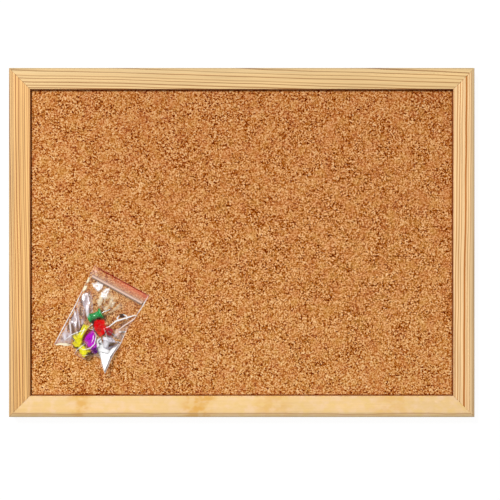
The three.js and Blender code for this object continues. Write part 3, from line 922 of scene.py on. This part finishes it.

# %% [markdown]
# ## The bag's film
# The bag is two rectangles of thin clear film, welded along the sides and the bottom. Film hardly
# stretches: over the pins it stands like a tent, with flat facets between sharp creases, and the bulk of
# the pins draws the sides and the bottom edge in, which leaves the lower corners sticking out as ears. A
# pressure simulation makes round cushions, so the film is relaxed here instead: heights on a grid settle
# like a stretched membrane over the pins, then a net of facets and a few long creases are laid over it.

# %% The bag's own frame
BAG_TURN = math.radians(-28.5)
BAG_WIDTH = 54.0
BAG_LENGTH = 78.0
FILM_STEP = 0.36
FILM_THICKNESS = 0.08
BACK_LEVEL = 0.14
WELD_LEVEL = 0.42
PIN_PLAY = 5.0
FILM_CLEARANCE = 0.35

film_low, film_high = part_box("bag_back_film")
bag_middle = (film_low + film_high) / 2
bag_place = Matrix.Translation((bag_middle.x, bag_middle.y, film_low.z)) @ Matrix.Rotation(BAG_TURN, 4, "Z")
bag_turned = np.array(bag_place.to_3x3())
bag_start = np.array(bag_place.translation)


def into_bag(points):
    """Points or one point of the frame, in the bag's own millimetres."""
    return (np.asarray(points) - bag_start) @ bag_turned / MM


def out_of_bag(points):
    return np.asarray(points) @ bag_turned.T * MM + bag_start


columns = int(BAG_WIDTH / FILM_STEP) + 1
rows = int(BAG_LENGTH / FILM_STEP) + 1
flat_x, flat_y = np.meshgrid(
    np.linspace(-BAG_WIDTH / 2, BAG_WIDTH / 2, columns), np.linspace(-BAG_LENGTH / 2, BAG_LENGTH / 2, rows)
)
print("film grid", columns, "by", rows)


# %% Outline, drawn in by the pins
def ease(value, start, end):
    t = np.clip((value - start) / (end - start), 0, 1)
    return t * t * (3 - 2 * t)


def through(places, values, at):
    """A smooth line through a few given values."""
    at = np.asarray(at, float)
    result = np.full(at.shape, float(values[0]))
    for place, following, value, following_value in zip(places, places[1:], values, values[1:]):
        result += (following_value - value) * ease(at, place, following)
    return result


LEFT_EDGE = ((-39, -20, 0, 13, 24, 30, 39), (-25.4, -25.6, -25.7, -26.5, -26.6, -27, -27))
RIGHT_EDGE = ((-39, -22, -10, 2, 17, 26, 39), (25.8, 24.4, 25.2, 24.2, 25.6, 26.4, 26.8))
BOTTOM_EDGE = (
    (-27, -19, -12, -5.5, 3.5, 8.5, 12, 16.5, 20.5, 27),
    (-38.8, -35.4, -32.3, -37.8, -37.4, -32.6, -30, -30.2, -35.6, -38.8),
)
BOTTOM_REACH = 16.0
left = through(*LEFT_EDGE, flat_y)
right = through(*RIGHT_EDGE, flat_y)
share = flat_x / BAG_WIDTH + 0.5
film_x = left + (right - left) * share
bottom_lift = through(*BOTTOM_EDGE, flat_x) + BAG_LENGTH / 2
film_y = flat_y + bottom_lift * (1 - ease(flat_y, -BAG_LENGTH / 2, -BAG_LENGTH / 2 + BOTTOM_REACH)) ** 1.5
print("outline", film_x.min().round(1), film_x.max().round(1), film_y.min().round(1), film_y.max().round(1))

# %% What the front film lies on
NEEDLE_SIDE = 0.6
NEEDLE_OVERLAP = 0.5
END_CLEARANCE = 0.5
ZIP_MARGIN = 0.4
SHIFTS = 11
zip_points = np.vstack([into_bag(points_of("bag_zip_channel")), into_bag(points_of("bag_zip_rib"))])
zip_low, zip_high = zip_points.min(0), zip_points.max(0)
support = np.full(film_x.shape, WELD_LEVEL)
inside_zip = np.abs(film_x) < zip_high[0] + ZIP_MARGIN
inside_zip &= (film_y > zip_low[1] - ZIP_MARGIN) & (film_y < zip_high[1] + ZIP_MARGIN)
support[inside_zip] = zip_high[2] + FILM_CLEARANCE / 2


def over_pin(start, heading, profile, tip, shift):
    """How high the film has to stand over one pin that has slid towards the mouth."""
    flat_heading = heading[:2] / np.linalg.norm(heading[:2])
    from_base_x = film_x - start[0]
    from_base_y = film_y - start[1] - shift
    station = from_base_x * flat_heading[0] + from_base_y * flat_heading[1]
    aside = from_base_x * flat_heading[1] - from_base_y * flat_heading[0]
    radius = np.zeros(station.shape)
    for step in (-END_CLEARANCE, 0, END_CLEARANCE):
        beside = np.interp(station + step, profile[1:-1, 1], profile[1:-1, 0], left=0, right=0)
        radius = np.maximum(radius, beside)
    on_needle = (station < NEEDLE_OVERLAP) & (station > tip - NEEDLE_OVERLAP)
    radius = np.where(on_needle, np.maximum(radius, NEEDLE_SIDE), radius)
    reach = radius + FILM_CLEARANCE
    top = start[2] + station * heading[2] + np.sqrt(np.maximum(reach**2 - aside**2, 0))
    return np.where((np.abs(aside) < reach) & (radius > 0), top, 0)


for base, way, length, tip in pins.values():
    profile = np.array(head_profile(length)) / MM
    for shift in np.linspace(0, PIN_PLAY, SHIFTS):
        pin_top = over_pin(into_bag(base), bag_turned.T @ way, profile, tip / MM, shift)
        support = np.maximum(support, pin_top)
print("highest support", support.max().round(2), "mm above the cork")


# %% Settle the film over it
def neighbours_mean(height):
    mean = height.copy()
    mean[1:-1, 1:-1] = (height[1:-1, 2:] + height[1:-1, :-2] + height[2:, 1:-1] + height[:-2, 1:-1]) / 4
    return mean


SETTLE_ROUNDS = 1200
WELD_WIDTH = 0.9
EAR_START = (15, -21)
EAR_LIFT = 4.5
LAMP_TILT = (0.21, -0.18)
ear = LAMP_TILT[0] * (film_x - EAR_START[0]) + LAMP_TILT[1] * (film_y - EAR_START[1])
ear = np.clip(ear, 0, EAR_LIFT)
weld_level = WELD_LEVEL + ear
support = np.maximum(support, weld_level)
inner = np.minimum.reduce([share * BAG_WIDTH, (1 - share) * BAG_WIDTH, flat_y + BAG_LENGTH / 2])
welded = inner < WELD_WIDTH
settled = support.copy()
for _ in range(SETTLE_ROUNDS):
    settled = np.maximum(neighbours_mean(settled), support)
    settled[welded] = weld_level[welded]
    settled[-1] = WELD_LEVEL
print("settled film", settled.max().round(2), "mm high")

# %% [markdown]
# ## Facets and creases
# Film that has been folded keeps flat facets and sharp creases. A few facets are tilted to catch the lamp
# as whole patches. Over them and along the creases, white, lilac, warm and pink tones are painted
# highlights, partly whitening where the plastic was bent. Where the film lies on a pin it carries a painted
# reflection in that pin's colour, and dark, maroon, grey and brown marks beside the pins are painted shade.
# These are drawn in the bag's own millimetres: an outline for each facet and a line for each crease. Fine
# pleats on the flank and above the green pin come from smooth random stripes; their light stripes are
# painted highlights and their dark ones painted shade. The same drawing shapes the mesh and marks it for
# the material.

# %% Drawing of the film
# White, lilac, warm and pink facets are painted highlights, partly whitening of the film; yellow, red,
# crimson, magenta and purple ones are painted reflections of the pins under them; dark, maroon, grey and
# brown ones are painted shade.
# Each facet: its tone, how much it covers, how crumpled it is if it is tilted to catch the lamp, its outline.
FACETS = (
    ("warm", 1.5, None, ((-27, 26), (-25.5, 27), (-24.5, 24), (-25.5, 21.5), (-26.5, 22.5))),
    ("warm", 1.4, None, ((-26.5, 18.5), (-24, 19.5), (-23.5, 16.5), (-25, 13.5), (-26, 14.5))),
    ("white", 0.6, 1.6, ((-21.5, 23.5), (-17.5, 27), (-12.5, 27.5), (-11.5, 23.5), (-13.5, 20), (-18, 21))),
    ("white", 0.5, 2.6, ((-9, 25.5), (-6, 27.5), (-4.5, 22.5), (-5, 17), (-9, 17.5), (-10.5, 21))),
    ("lilac", 0.45, 2.0, (
        (-24.5, 11.5), (-21, 14), (-15, 9), (-12, 2.5), (-13, -1.5), (-18, 3), (-23.5, 7.5),
    )),
    ("lilac", 0.45, 2.0, ((-22.5, -4.5), (-19, -6), (-16, -11), (-14, -17.5), (-19.5, -14.5), (-22, -16))),
    ("lilac", 0.35, None, ((-24.5, -36), (-23, -22), (-14, -24), (-12.5, -30), (-16, -34))),
    ("maroon", 0.45, None, ((-15.5, -5.5), (-13.5, -2.5), (-10.5, -3), (-10.5, -5), (-12.5, -7.5))),
    ("maroon", 0.7, None, ((-7.5, -14.5), (-4.5, -11.5), (-2, -9.5), (-3, -15), (-3.5, -19))),
    ("dark", 0.6, None, ((-6.5, -5.5), (-4.5, -2), (-3, -3), (-4, -6))),
    ("dark", 0.4, None, ((1, 6.5), (3, 6), (4.5, 3.5), (3.5, 2))),
    ("dark", 0.75, None, ((2.5, -30), (7, -27.5), (10.5, -28), (4.5, -32))),
    ("yellow", 0.6, None, (
        (-10.5, -10), (-5, -8.5), (-5.5, -12.5), (-6.5, -17.5), (-4.5, -24), (-4.5, -28), (-8.5, -30),
        (-11.5, -29.5), (-9.5, -23.5), (-10, -18.5), (-10.5, -14.5),
    )),
    ("yellow", 0.8, None, ((-4, -28), (-1.5, -25.5), (1.5, -27.5), (4, -30), (2.5, -33), (-2, -33.5))),
    ("red", 0.7, None, (
        (-3.5, -4), (-2, -1), (3.5, 2), (6.5, -0.5), (8.5, -5), (9.5, -9), (7, -12.5), (4, -11.5),
        (0.5, -9.5), (-2, -7.5),
    )),
    ("crimson", 0.6, None, ((8.5, -5), (10.5, -2), (14, -2), (15, -5), (14, -8), (11, -8.5))),
    ("magenta", 0.65, None, (
        (-3.5, -18.5), (-2.5, -13.5), (-0.5, -10), (2.5, -12.5), (5.5, -18.5), (5.5, -23.5), (3, -25),
        (-0.5, -23.5), (-3.5, -21),
    )),
    ("purple", 0.65, None, ((5, -24.5), (9, -21.5), (11.5, -24.5), (10.5, -27.5), (7, -27.5))),
    ("white", 1.6, 0.6, (
        (6, -16), (7.5, -13), (14.5, -19), (19.5, -19), (25, -9.5), (23.5, -23.5), (25, -31.5), (25.5, -38.5),
        (20.5, -33.5), (14.5, -26.5), (9, -21),
    )),
    ("warm", 0.55, None, ((-10, 18), (-7, 18.5), (-5, 11.5), (-6.5, 9.5), (-9.5, 12.5))),
    ("warm", 0.35, None, ((-1, 19), (4, 19), (4.5, 13.5), (0.5, 14))),
    ("lilac", 0.8, None, ((13.5, -9.5), (18, -8.5), (21, -11), (16, -13))),
    ("pink", 0.4, None, ((15.5, -2), (19, 3), (24, 4.5), (24.5, -7.5), (19, -7.5))),
    ("grey", 0.65, None, ((15, -20), (19, -15), (22.5, -11), (19, -18))),
    ("dark", 1.8, None, ((12, 12), (15.5, 14), (17, 11.5), (14, 9))),
    ("brown", 0.5, None, ((16, 3.5), (18.5, 8), (21, 10), (20.5, 7.5), (19, 3))),
)
# White, pink, lilac and warm creases are painted highlights, partly whitening where the film was bent; dark,
# maroon and grey ones are painted shade.
# Each crease: its tone, how much it covers, its width, how high it stands, and its line.
CREASES = (
    ("warm", 1.8, 3.2, 0.0, ((-23.5, -37.5), (-12.5, -31.5))),
    ("white", 1.1, 0.9, 0.0, ((-26, 14), (-25.2, 0), (-25.1, -20), (-24.9, -38))),
    ("white", 1.7, 1.3, 1.2, ((8, -3), (10, -1), (12.5, 5.5), (17.5, 10.5), (24, 17), (26, 16.5))),
    ("pink", 1.5, 1.2, 1.0, ((26, 16.5), (24, 12), (20, 4.5), (18, 0))),
    ("white", 1.4, 1.0, 0.4, ((12.5, 10.5), (12, 8), (14.5, 6.5))),
    ("white", 1.5, 1.0, 0.4, ((15, 13), (18.5, 13), (20, 10.5))),
    ("white", 1.4, 1.4, 0.8, ((19, -1.5), (24.5, 1))),
    ("lilac", 0.6, 2.0, 0.6, ((17, -8.5), (19, -3))),
    ("white", 1.2, 1.0, 0.5, ((21.5, -2.5), (25, -4.5))),
    ("white", 1.2, 1.2, 0.6, ((20.5, -10), (25, -9.5))),
    ("white", 0.6, 1.2, 0.6, ((7.5, -5), (12.5, -10), (15, -11))),
    ("white", 0.9, 0.9, 0.4, ((-3, -10.5), (1, -10), (4, -13.5), (6, -20), (4.5, -25), (0, -29), (-3, -29))),
    ("white", 0.9, 0.8, 1.0, ((-18.5, -30), (-15, -22.5), (-10.5, -17), (-6.5, -13))),
    ("white", 0.7, 0.9, 0.6, ((-5.5, -37.5), (-5, -32), (-1, -23))),
    ("warm", 0.8, 0.9, 0.5, ((1, -34), (6.5, -31), (11.5, -28.5), (16.5, -28.5))),
    ("pink", 0.9, 0.9, 0.0, ((23.8, 2), (24.7, -10), (24, -22), (25.2, -38))),
    ("white", 0.9, 1.0, 0.0, ((26.2, 37), (26.2, 33), (26, 26), (25.2, 17))),
    ("dark", 1.1, 1.2, 0.0, ((9, -14), (8, -16.5), (9.5, -18), (11.5, -17.5))),
    ("grey", 1.1, 1.7, 0.0, ((14.5, -19), (18.5, -17.5), (22, -14), (23, -9.5))),
    ("grey", 0.8, 1.0, 0.0, ((11, -9), (15, -8), (18, -10), (18, -13.5))),
    ("dark", 1.7, 1.2, 0.0, ((-3.6, -2.5), (-3, -6.5), (-0.5, -9.5), (4, -11.8), (7.5, -13))),
    ("maroon", 1.8, 1.6, 0.0, ((-4.8, -11.5), (-4.2, -17), (-4, -22), (-2, -24.5))),
    ("dark", 1.5, 1.1, 0.0, ((-11, -29.8), (-8, -31), (-4, -29.5))),
    ("dark", 1.3, 1.1, 0.0, ((-11, -9.5), (-10.8, -15), (-10.4, -19.5))),
    ("dark", 1.5, 1.2, 0.0, ((9, -4), (9.8, -8.5), (8, -12))),
    ("white", 1.2, 0.8, 0.0, ((-8, -12), (-7.5, -16), (-7.8, -19))),
    ("white", 1.1, 0.8, 0.0, ((1.5, -13.5), (3, -17), (3.2, -20.5))),
)
DULL = 0.15


def dull(red, green, blue):
    """A tone with little gloss. The fourth number of a film tone is its gloss."""
    return (*tone(red, green, blue)[:3], DULL)


# Tones of the drawing: white, lilac, warm and pink for painted highlights; grey, brown, umber, dark, maroon
# and strip shade for painted shade; yellow, red, crimson, magenta and purple for painted reflections of the
# pins.
FILM_TONES = {
    "white": tone(255, 254, 254),
    "lilac": tone(228, 217, 228),
    "warm": tone(255, 242, 208),
    "pink": tone(250, 222, 210),
    "grey": tone(150, 140, 150),
    "brown": tone(128, 92, 72),
    "umber": tone(104, 70, 50),
    "lip": tone(226, 184, 164),
    "lip red": tone(255, 128, 98),
    "strip": tone(244, 203, 180),
    "strip shade": tone(168, 128, 102),
    "dark": dull(58, 44, 42),
    "maroon": dull(112, 36, 36),
    "yellow": dull(253, 243, 44),
    "red": dull(226, 8, 14),
    "crimson": dull(196, 18, 58),
    "magenta": dull(204, 20, 212),
    "purple": dull(96, 12, 124),
}
print(len(FACETS), "facets and", len(CREASES), "creases in", len(FILM_TONES), "tones")


# %% Random facets and pleats
def facet_net(spacing, height, seed):
    """Flat facets between scattered points of random height, as crumpled film has, and a chance for each."""
    chance = np.random.default_rng(seed)
    spots = []
    for x in np.arange(-BAG_WIDTH / 2 - spacing, BAG_WIDTH / 2 + 2 * spacing, spacing):
        for y in np.arange(-BAG_LENGTH / 2 - spacing, BAG_LENGTH / 2 + 2 * spacing, spacing):
            spots.append(Vector((x, y)) + Vector(chance.uniform(-0.45, 0.45, 2) * spacing))
    corners, _, triangles, *_ = delaunay_2d_cdt(spots, [], [], 0, 1e-4)
    heights = chance.uniform(-height, height, len(corners))
    net = np.zeros(film_x.shape)
    luck = np.zeros(film_x.shape)
    for triangle in triangles:
        a, b, c = (np.array(corners[i]) for i in triangle)
        (ux, uy), (vx, vy) = b - a, c - a
        area = ux * vy - uy * vx
        px, py = film_x - a[0], film_y - a[1]
        s = (px * vy - py * vx) / area
        t = (ux * py - uy * px) / area
        within = (s >= -1e-9) & (t >= -1e-9) & (s + t <= 1 + 1e-9)
        levels = heights[list(triangle)]
        flat = levels[0] + s * (levels[1] - levels[0]) + t * (levels[2] - levels[0])
        net[within] = flat[within]
        luck[within] = chance.uniform()
    return net, luck


def streaks(along, across, length, width, seed):
    """Smooth random stripes, long one way and narrow the other, from nought to one."""
    values = np.random.default_rng(seed).uniform(size=(99, 99))
    i, s = np.divmod(along / length + 49, 1)
    j, t = np.divmod(across / width + 49, 1)
    i, j = i.astype(int), j.astype(int)
    s, t = ease(s, 0, 1), ease(t, 0, 1)
    first = values[i, j] * (1 - t) + values[i, j + 1] * t
    second = values[i + 1, j] * (1 - t) + values[i + 1, j + 1] * t
    return first * (1 - s) + second * s


print("seeded facets and pleats on", film_x.size, "film points")


# %% Masks for the drawing
def along_line(line):
    """How far each film point lies from a line of points, and how far along the line its nearest place is."""
    nearest = np.full(film_x.shape, 1e9)
    reached = np.zeros(film_x.shape)
    passed = 0.0
    for start, end in zip(line, line[1:]):
        dx, dy = end[0] - start[0], end[1] - start[1]
        length = math.hypot(dx, dy)
        t = np.clip(((film_x - start[0]) * dx + (film_y - start[1]) * dy) / length**2, 0, 1)
        away = np.hypot(film_x - start[0] - t * dx, film_y - start[1] - t * dy)
        reached = np.where(away < nearest, passed + t * length, reached)
        nearest = np.minimum(nearest, away)
        passed += length
    return nearest, reached / passed


def crease_mask(line, width):
    """One on a crease that thins towards both ends, and nought beside it."""
    away, share = along_line(line)
    half = 0.6 * width * (0.4 + 0.6 * ease(np.minimum(share, 1 - share), 0, 0.3))
    return 1 - ease(away / half, 0.4, 1)


def facet_mask(outline, soft):
    """One inside an outline and nought outside, by counting crossings, with a soft rim."""
    closed = outline + outline[:1]
    within = np.zeros(film_x.shape, bool)
    for (x0, y0), (x1, y1) in zip(closed, closed[1:]):
        if y0 != y1:
            crossed = (y0 > film_y) != (y1 > film_y)
            within ^= crossed & (film_x < x0 + (x1 - x0) * (film_y - y0) / (y1 - y0))
    away, _ = along_line(closed)
    return ease(np.where(within, away, -away), -soft, soft)


print("masks for", len(FACETS) + len(CREASES), "drawn marks")

# %% Pleats on the flank and above the green pin
FLANK_OUTLINE = ((-25.5, 12), (-19, 17), (-10, 2.5), (-11.5, -5), (-11, -11.5), (-12, -21.5), (-24, -36))
FLANK_WAY = (0.64, -0.77)
GREEN_END = (0.5, 4)
free = ease(inner, 0.8, 5.0) * (1 - ease(film_y, zip_low[1] - 5.0, zip_low[1] - 1.0))
flank_along = FLANK_WAY[0] * film_x + FLANK_WAY[1] * film_y
flank_across = FLANK_WAY[0] * film_y - FLANK_WAY[1] * film_x
pleats = streaks(flank_along, flank_across, length=10.0, width=1.4, seed=21)
flank = free * facet_mask(FLANK_OUTLINE, soft=2.5)
from_green = np.hypot(film_x - GREEN_END[0], film_y - GREEN_END[1])
fan_angle = np.arctan2(film_x - GREEN_END[0], film_y - GREEN_END[1])
fan_pleats = streaks(from_green, fan_angle, length=6.0, width=0.13, seed=22)
fan = ease(from_green, 3, 7) * (1 - ease(from_green, 13, 21)) * (1 - ease(np.abs(fan_angle + 0.1), 0.5, 0.9))
print("pleated shares of the film", flank.mean().round(2), "and", fan.mean().round(2))

# %% Shape the front film
CREASE_FLANK = 2.4
RIM = 0.7
PLEAT_HEIGHT = 0.5
SOFTEN_ROUNDS = 2
BACK_CRUMPLE = 0.05
wide, wide_luck = facet_net(spacing=7.5, height=0.5, seed=11)
narrow, narrow_luck = facet_net(spacing=3.4, height=0.16, seed=12)
fine, fine_luck = facet_net(spacing=2.2, height=0.1, seed=14)
crumple = wide + narrow
for _, _, _, height, line in CREASES:
    crumple += height * np.clip(1 - along_line(line)[0] / CREASE_FLANK, 0, None)
front = settled + free * crumple
for _, _, crumpled, outline in FACETS:
    if crumpled:
        mask = facet_mask(outline, RIM)
        middle = np.mean(outline, 0)
        plane = (film_x - middle[0]) * LAMP_TILT[0] + (film_y - middle[1]) * LAMP_TILT[1]
        level = (mask * settled).sum() / mask.sum()
        front += mask * (level + plane + crumpled * fine - front)
front += PLEAT_HEIGHT * flank * (pleats - 0.5)
front = np.maximum(front, support)
for _ in range(SOFTEN_ROUNDS):
    front = np.maximum(neighbours_mean(front), support)
    front[welded] = weld_level[welded]
back = BACK_LEVEL + ear + BACK_CRUMPLE * free * facet_net(spacing=9.0, height=1.0, seed=13)[0]
print("front film", front.max().round(2), "mm high")


# %% Mark the film with its tones
def painted(layers):
    """Lays tones over each other, and keeps their colour and gloss and how much they cover."""
    paint = np.zeros(film_x.shape + (4,))
    cover = np.zeros(film_x.shape)
    for mask, name in layers:
        paint = paint * (1 - mask)[..., None] + np.array(FILM_TONES[name]) * mask[..., None]
        cover = cover + mask * (1 - cover)
    return paint, cover


VEIL = 0.035
SHADE_SIDE = (0.7, -0.6)
CREASE_SHADE = 0.3
grip_low = into_bag(points_of("bag_grip_line"))[:, 1].min()
to_grip = ease(film_y, zip_high[1] - 1, grip_low)
on_lip = (film_y > zip_high[1] - ZIP_MARGIN) & (film_y < grip_low + 0.3)
to_right = 0.2 + 0.8 * ease(film_x, -18, 10)
luck = 0.5 * (fine_luck + narrow_luck)
# The warm veil is partly the film's own haze and partly painted sheen. On the flank the lilac and white
# stripes are painted highlights and the umber ones painted shade; above the green pin the warm stripes are
# painted highlights and the brown ones painted shade. The brown line beside each raised crease and the strip
# shade under the press-to-close strip are painted shade.
layers = [
    (VEIL * (0.4 + 1.2 * wide_luck) * ease(front - support, 0.3, 2.5), "warm"),
    (0.35 * on_lip * (1 - to_grip), "lip"),
    (0.5 * on_lip * to_grip * to_right, "lip red"),
    (0.14 * flank, "lilac"),
    (0.9 * flank * ease(pleats, 0.46, 0.74), "lilac"),
    (0.85 * flank * ease(pleats, 0.66, 0.86), "white"),
    (0.85 * flank * (1 - ease(pleats, 0.2, 0.44)), "umber"),
    (0.65 * fan * ease(fan_pleats, 0.42, 0.75), "warm"),
    (0.35 * fan * (1 - ease(fan_pleats, 0.15, 0.4)), "brown"),
]
for name, strength, _, outline in FACETS:
    layers.append((np.clip(strength * (0.4 + 1.2 * luck), 0, 1) * facet_mask(outline, RIM), name))
for _, _, width, height, line in CREASES:
    if height:
        shaded = [(x + SHADE_SIDE[0] * width, y + SHADE_SIDE[1] * width) for x, y in line]
        layers.append((CREASE_SHADE * crease_mask(shaded, width), "brown"))
for name, strength, width, _, line in CREASES:
    layers.append((np.clip(strength * (0.45 + 0.75 * luck), 0, 1) * crease_mask(line, width), name))
from_zip = film_y - (zip_low[1] + zip_high[1]) / 2
on_zip = np.abs(film_x) < zip_high[0] + 0.5
layers.append((0.3 * np.exp(-(((from_zip + 1.7) / 0.6) ** 2)) * on_zip, "strip shade"))
layers.append((np.exp(-(((from_zip - 0.2) / 0.8) ** 2)) * on_zip, "strip"))
front_marks = painted(layers)
back_marks = painted([(0.2 * np.exp(-(((inner - 0.8) / 0.45) ** 2)), "pink")])
print(len(layers), "layers cover", front_marks[1].mean().round(2), "of the front film")

# %% [markdown]
# ## Clear film as a material
# Thin film doesn't bend what is behind it, so glass with refraction would be wrong. The film is drawn by
# how much of it is seen at all: nearly nothing where it is clear, only a bright gloss that grows towards
# grazing angles, and where the mesh is marked, a cover of painted highlights, painted reflections and
# painted shade, whose normal turns towards straight up. Only the side that faces the ray counts, so a
# wall is not seen twice.


# %% Film material
def clear_film():
    material, tree, shader = new_material("clear film")
    cover = add("ShaderNodeAttribute", {}, tree, attribute_name="film cover").outputs["Fac"]
    marked = add("ShaderNodeAttribute", {}, tree, attribute_name="film colour").outputs
    crinkle = noise(place_on_object(tree), 420.0, 3.0, 0.6)[0]
    feeds = {"Height": crinkle, "Strength": 0.08, "Distance": 0.2 * MM}
    bump = add("ShaderNodeBump", feeds).outputs[0]
    broken = times(cover, smooth_step(crinkle, 0.0, 0.45))
    edge_on = add("ShaderNodeLayerWeight", {"Blend": 0.5, "Normal": bump}).outputs["Facing"]
    gloss = times_plus(calculate("POWER", edge_on, 5.0), 0.6, 0.008)
    gloss = times(gloss, minus(1.0, broken))
    seen = plus(broken, gloss)
    inside = add("ShaderNodeNewGeometry", {}, tree).outputs["Backfacing"]
    shading = add("ShaderNodeLightPath", {}, tree).outputs["Is Shadow Ray"]
    faced = times(seen, minus(1.0, inside))
    faced = times(faced, times_plus(shading, -0.6, 1.0))
    # Where painted highlights, painted reflections and painted shade cover the film, its normal turns towards
    # straight up.
    milky = calculate("MINIMUM", times(broken, 1.5), 1.0)
    evened = add("ShaderNodeMix", {0: milky, 4: bump, 5: (0, 0, 1)}, data_type="VECTOR").outputs[1]
    feed(shader, {
        "Base Color": marked["Color"],
        "Metallic": calculate("DIVIDE", gloss, seen),
        "Roughness": 0.28,
        "Alpha": faced,
        "Normal": evened,
        "Specular IOR Level": 0.0,
        "Coat Weight": marked["Alpha"],
        "Coat Roughness": 0.2,
        "Coat Normal": bump,
    })
    return material


film_material = clear_film()
print("film material with", len(film_material.node_tree.nodes), "nodes")

# %% Film meshes
LEAST_COVER = 0.02


def film_piece(name, height, marks, node):
    local = np.stack([film_x, film_y, height], -1).reshape(-1, 3)
    index = np.arange(rows * columns).reshape(rows, columns)
    faces = np.stack([index[:-1, :-1], index[:-1, 1:], index[1:, 1:], index[1:, :-1]], -1).reshape(-1, 4)
    mesh = bpy.data.meshes.new(name)
    mesh.from_pydata(out_of_bag(local).tolist(), [], faces.tolist())
    paint, cover = marks
    marked = (cover > LEAST_COVER)[..., None]
    colours = np.where(marked, paint / np.maximum(cover, LEAST_COVER)[..., None], FILM_TONES["white"])
    tones = mesh.attributes.new("film colour", "FLOAT_COLOR", "POINT")
    tones.data.foreach_set("color", colours.astype(np.float32).ravel())
    amounts = mesh.attributes.new("film cover", "FLOAT", "POINT")
    amounts.data.foreach_set("value", cover.astype(np.float32).ravel())
    mesh.shade_smooth()
    made = mesh_object(name, mesh, film_material)
    wall = made.modifiers.new("film wall", "SOLIDIFY")
    wall.thickness = FILM_THICKNESS * MM
    wall.offset = 0.0
    applied(made)
    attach(made, "pin_bag")
    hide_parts(node)
    print(name, len(made.data.polygons), "faces")


film_piece("back_film", back, back_marks, "bag_back_film")
film_piece("front_film", front, front_marks, "bag_front_film")


# %% [markdown]
# ## Press-to-close strip and lip line
# The strip is two moulded halves of milky polyethylene, and a thin red line marks the lip. Their solids
# have the right section already, so they stay and only get a finish.


# %% Strip and line finishes
def translucent(name, colour, paler, cover):
    material, tree, shader = new_material(name)
    cloud = place_group(skin, {"Place": place_on_object(tree), "Cloud Scale": 500.0})["Cloud"]
    feed(shader, {
        "Base Color": mix_colour(cloud, colour, paler),
        "Roughness": 0.35,
        "Alpha": times_plus(cloud, 0.1, cover - 0.05),
        "Specular IOR Level": 0.1,
    })
    return material


strip_material = translucent("milky polyethylene", tone(252, 222, 210), tone(255, 242, 236), 0.08)
lip_material = translucent("lip red", tone(136, 2, 0), tone(160, 12, 2), 0.95)
for node in ("bag_zip_channel", "bag_zip_rib"):
    finish_node(node, strip_material)
finish_node("bag_grip_line", lip_material)
print("strip in", strip_material.name, "and lip line in", lip_material.name)

# %% [markdown]
# ## Panel and fastenings
# Behind the cork lie a soft fibreboard core and a thin hardboard back. Steel points hold the panel in the
# rebate, wedge nails draw the mitres together, and two toothed hangers are nailed to the back.


# %% Boards
def pressed_fibre_group():
    tree, given = new_group(
        "pressed fibre", {"Place": "Vector", "Fibre Scale": "Vector"}, {"Flecks": "Float", "Level": "Float"}
    )
    flecks = stretched_noise(given["Place"], given["Fibre Scale"], 5.0, 0.65)[0]
    clouds = noise(given["Place"], 30.0, 3.0)[0]
    level = times_plus(clouds, 0.45, times(flecks, 0.6))
    add("NodeGroupOutput", {"Flecks": flecks, "Level": level})
    return tree


fibres = pressed_fibre_group()


def fibreboard(node, name, pale, dark, fibre_scale, roughness):
    material, tree, shader = new_material(name)
    feeds = {"Place": place_on_object(tree), "Fibre Scale": fibre_scale}
    flecks, level = place_group(fibres, feeds)
    colour = ramp(level, ((0.3, dark), (0.72, pale)))
    varied = times_plus(flecks, 0.2, roughness)
    dress(shader, colour, varied, flecks, strength=0.3, depth=0.15 * MM)
    finish_node(node, material)
    print(node, "in", name)


fibreboard(
    "softboard_core", "softboard", pale=tone(206, 186, 152), dark=tone(150, 124, 88),
    fibre_scale=(700.0, 700.0, 300.0), roughness=0.85,
)
fibreboard(
    "hardboard_back", "hardboard", pale=tone(142, 98, 60), dark=tone(88, 56, 30),
    fibre_scale=(260.0, 900.0, 900.0), roughness=0.5,
)

# %% Points, wedges and hangers
zinc = bright_steel("zinc-plated steel", tone(205, 208, 212), 0.34, (90.0, 400.0, 400.0))
for node in nodes:
    if "wedge" in node or "panel_point" in node:
        finish_node(node, zinc)
    elif "hanger" in node:
        smooth_copy(node, node + "_steel", zinc, "board")
